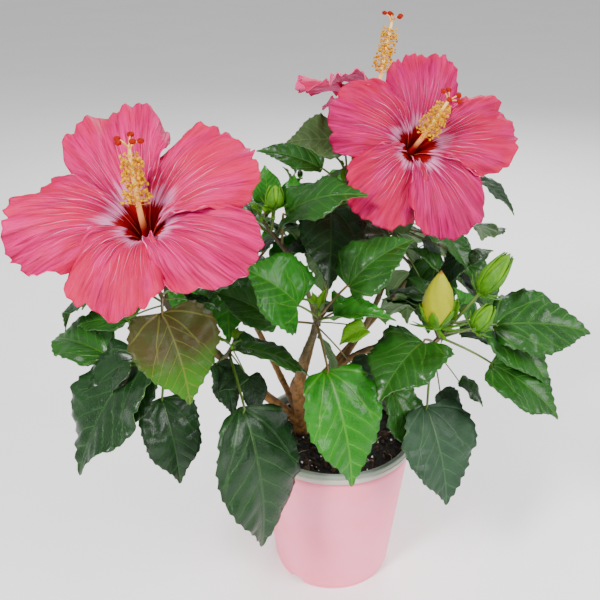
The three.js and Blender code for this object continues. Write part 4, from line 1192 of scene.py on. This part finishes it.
def make_column(pile, bloom, axes, rng):
    """Central column with its anthers on short threads and five stigma pads."""
    axis, side, _ = axes
    length, bearing, rise = bloom["column"]
    throat = np.array(bloom["throat"], float)
    outward = heading(bearing, rise)
    middle = throat + 0.4 * length * axis
    tip = middle + 0.6 * length * outward
    path = [throat - 2 * axis, middle, tip]
    line = stem_line(path, 30)
    run = np.linspace(0, 1, 30)
    tube(pile, line, 2.1 - 1.2 * run + 3.2 * np.exp(-(run / 0.06) ** 2), "column", 12)
    across = unit(np.cross(outward, side))
    for number in range(ANTHERS):
        share = 0.5 + 0.4 * (number + rng.uniform(0, 1)) / ANTHERS
        root = on_curve(path, share)
        spoke = turned(across, outward, 137.5 * number)
        reach = rng.uniform(4.5, 9.0) * (1 - 0.35 * (share - 0.5) / 0.4)
        end = root + spoke * reach + outward * rng.uniform(0.5, 4.0)
        bow = 0.5 * (root + end) + outward * rng.uniform(-0.8, 0.4)
        tube(pile, on_curve([root, bow, end], np.linspace(0, 1, 4)), 0.2, "filament", 4)
        ball(pile, end, (rng.uniform(1.0, 1.4), rng.uniform(0.7, 1.0)), "anther", rng.normal(size=3), 6, 4)
    fork = on_curve(path, 0.93)
    for number in range(STIGMAS):
        spoke = turned(across, outward, 360 * number / STIGMAS)
        end = tip + spoke * STIGMA_SPREAD + outward * rng.uniform(1.5, 4)
        line = on_curve([fork, tip + outward * 1.5, end], np.linspace(0, 1, 8))
        tube(pile, line, np.linspace(0.55, 0.4, 8), "filament", 6)
        ball(pile, end, (1.5, 2.0), "stigma", outward, 10, 5)


def sepal(pile, root, spoke, outward, length, width, lean):
    """A pointed sepal or bract that leaves root along outward and leans out along spoke."""
    v, s = np.meshgrid(np.linspace(0, 1, 13), np.linspace(-1, 1, 5), indexing="ij")
    half = 0.5 * width * np.maximum(np.sin(math.pi * (0.16 + 0.84 * v)), 0.03) ** 0.8
    side = unit(np.cross(outward, spoke))
    bowed = lean * (v ** 2) * length
    ahead = length * v * math.sqrt(max(1 - min(abs(lean), 0.95) ** 2 * 0.6, 0.1))
    points = (root + outward * ahead[..., None] + spoke * (bowed - 0.2 * half * s ** 2)[..., None]
              + side * (half * s)[..., None])
    uv = np.stack([s * 0.5 + 0.5, v], -1)
    sheet(pile, points + 0.2 * spoke, points - 0.2 * spoke, ("calyx", "calyx"), uv)


def make_calyx(pile, bloom, axes, rng):
    axis, side, _ = axes
    throat = np.array(bloom["throat"], float)
    foot = throat - CALYX_LENGTH * axis
    line = np.linspace(foot, throat - 0.5 * axis, 16)
    share = np.linspace(0, 1, 16)
    body = 5.6 * (0.4 + 0.7 * np.sin(math.pi * (0.12 + 0.5 * share)))
    tube(pile, line, np.where(share > 0.8, 3.2, body), "calyx", 16)
    stalk = [bloom["pedicel"][0], bloom["pedicel"][1], foot + 4 * axis]
    tube(pile, stem_line(stalk, 14), np.linspace(1.3, 1.9, 14), "stalk", 10)
    for number in range(5):
        spoke = turned(side, axis, 72 * number + 20)
        sepal(pile, foot + 8 * axis + 4.2 * spoke, spoke, axis, 19, 10, 0.38)
    for number in range(8):
        spoke = turned(side, axis, 45 * number + rng.uniform(-8, 8))
        sepal(pile, foot + 2 * axis + 2.6 * spoke, spoke, axis, rng.uniform(12, 16), 2.4, 0.75)


def bud_skin(bud, turn, at, lift=0.0):
    """A furled bud's skin at a turn round it and a share of its length, lifted off it or not."""
    at, turn = np.broadcast_arrays(np.asarray(at, float), np.asarray(turn, float))
    body = np.sin(math.pi * at ** 0.8).clip(0) ** 0.8 + 0.12 * (1 - at)
    if bud["yellow"]:
        swell = 0.9 + 0.12 * ((turn / (2 * math.pi) * 5 + 1.4 * at) % 1.0) ** 2
    else:
        swell = 0.9
    reach = bud["radius"] * np.maximum(body, 0.05) * swell + lift
    round_axis = bud["side"] * np.cos(turn)[..., None] + bud["front"] * np.sin(turn)[..., None]
    return bud["foot"] + bud["axis"] * (bud["length"] * at)[..., None] + round_axis * reach[..., None]


def bud_lobe(pile, bud, middle, spread, top):
    """A pointed sepal that lies on the bud and parts from it at its tip."""
    v, s = np.meshgrid(np.linspace(0, 1, 16), np.linspace(-1, 1, 9), indexing="ij")
    turn = middle + spread * s * np.maximum((1 - v ** 1.5) ** 0.8, 0.03)
    uv = np.stack([s * 0.5 + 0.5, v], -1)
    lift = 0.4 + (0.9 if bud["yellow"] else 2.2) * v ** 4 - 0.5 * s ** 4
    outer = bud_skin(bud, turn, 0.02 + v * top, lift + 0.7)
    sheet(pile, outer, bud_skin(bud, turn, 0.02 + v * top, lift), ("calyx", "calyx"), uv)


def make_bud(name, spec, rng):
    mass, node, foot, tip, radius = spec
    pile = Pile()
    foot, tip = np.array(foot, float), np.array(tip, float)
    axis = unit(tip - foot)
    side = unit(np.array([axis[2], 0, -axis[0]]))
    bud = {
        "foot": foot, "axis": axis, "side": side, "front": np.cross(axis, side),
        "length": np.linalg.norm(tip - foot), "radius": radius, "yellow": name == "bud_yellow",
    }
    start = on_curve(MASSES[mass]["stem"], node)
    tube(pile, np.linspace(start, foot + 2 * axis, 12), np.linspace(1.2, 1.5, 12), "stalk", 10)
    share = np.linspace(0, 1, 34)
    turns = np.linspace(0, 2 * math.pi, BUD_SIDES, endpoint=False)
    uv = np.stack(np.meshgrid(turns / (2 * math.pi), share), -1)
    faces = np.concatenate([
        grid_faces(len(share), BUD_SIDES, wrap=True), cap_faces(0, BUD_SIDES, flip=True),
        cap_faces((len(share) - 1) * BUD_SIDES, BUD_SIDES),
    ])
    tone = "bud_yellow" if bud["yellow"] else "bud_green"
    pile.add(bud_skin(bud, turns[None], share[:, None]), faces, tone, uv)
    for number in range(5):
        spread, top = (0.6, 0.38) if bud["yellow"] else (0.66, 0.95)
        bud_lobe(pile, bud, 2 * math.pi * number / 5 + 0.5, spread, top)
    ball(pile, foot + axis * 0.5, (2.6, 0.5 * radius), "calyx", axis, 16, 6)
    for number in range(BRACTS):
        spoke = turned(side, axis, 360 * number / BRACTS + rng.uniform(-8, 8))
        lean = rng.uniform(-0.4, 0.25) if bud["yellow"] else rng.uniform(0.0, 0.5)
        ahead = unit(spoke + lean * axis)
        curl = unit(axis - spoke * lean)
        reach = rng.uniform(1.55, 1.9) * (radius + 1)
        sepal(pile, foot + 0.2 * radius * spoke, curl, ahead, reach, 3.0, 0.2)
    pile.piece(name + "_furled", SLOTS[name], [name])


# Stage

WORLD_LIGHT = 0.62
FLOOR_REACH = 6.0
# Lights: place and aim in metres, diameter and power
LIGHTS = {
    "key": ((-0.7, -0.9, 1.3), (0, 0, 0.25), 0.32, 32),
    "front": ((-0.2, -1.7, 0.55), (0, 0, 0.2), 0.7, 9),
    "side": ((1.0, -0.5, 0.9), (0, 0, 0.25), 0.8, 20),
    "back": ((0.3, 1.1, 1.1), (0, 0, 0.3), 0.8, 16),
}


def put(thing, place, target):
    """Stands a lamp or camera at its place, turned to its target."""
    thing.location = place
    thing.rotation_mode = "QUATERNION"
    thing.rotation_quaternion = (Vector(target) - Vector(place)).to_track_quat("-Z", "Y")
    bpy.context.scene.collection.objects.link(thing)


def make_floor():
    mesh = bpy.data.meshes.new("floor")
    reach = FLOOR_REACH
    corners = [(-reach, -reach, 0), (reach, -reach, 0), (reach, reach, 0), (-reach, reach, 0)]
    mesh.from_pydata(corners, [], [(0, 1, 2, 3)])
    mesh.materials.append(MATERIALS["floor"])
    floor = bpy.data.objects.new("floor", mesh)
    bpy.context.scene.collection.objects.link(floor)


def make_stage():
    make_floor()
    world = bpy.data.worlds.new("studio")
    world.use_nodes = True
    world.node_tree.nodes["Background"].inputs["Color"].default_value = (1, 1, 1, 1)
    world.node_tree.nodes["Background"].inputs["Strength"].default_value = WORLD_LIGHT
    bpy.context.scene.world = world
    for name, (place, target, size, power) in LIGHTS.items():
        light = bpy.data.lights.new(name, "AREA")
        light.shape, light.size, light.energy = "DISK", size, power
        put(bpy.data.objects.new(name, light), place, target)
    camera = bpy.data.objects.new("camera", bpy.data.cameras.new("camera"))
    camera.data.lens, camera.data.sensor_width = CAMERA_LENS, CAMERA_SENSOR
    camera.data.clip_start = 0.02
    target = np.array(CAMERA_TARGET) * MM
    put(camera, target - heading(90, -CAMERA_ELEVATION) * CAMERA_DISTANCE * MM, target)
    bpy.context.scene.camera = camera


make_stage()
make_pot()
make_soil(np.random.default_rng(5))
make_wood()

twigs = Pile()
grow_foliage(twigs)
twigs.piece("twigs", "bark", [])

flower_parts = Pile()
for number, (name, bloom) in enumerate(BLOOMS.items()):
    rng = np.random.default_rng(300 + number)
    axes = make_petals(name, bloom, rng)
    make_column(flower_parts, bloom, axes, rng)
    make_calyx(flower_parts, bloom, axes, rng)
flower_parts.piece("columns_and_calyxes", "petal", [])
for number, (name, spec) in enumerate(BUDS.items()):
    make_bud(name, spec, np.random.default_rng(400 + number))
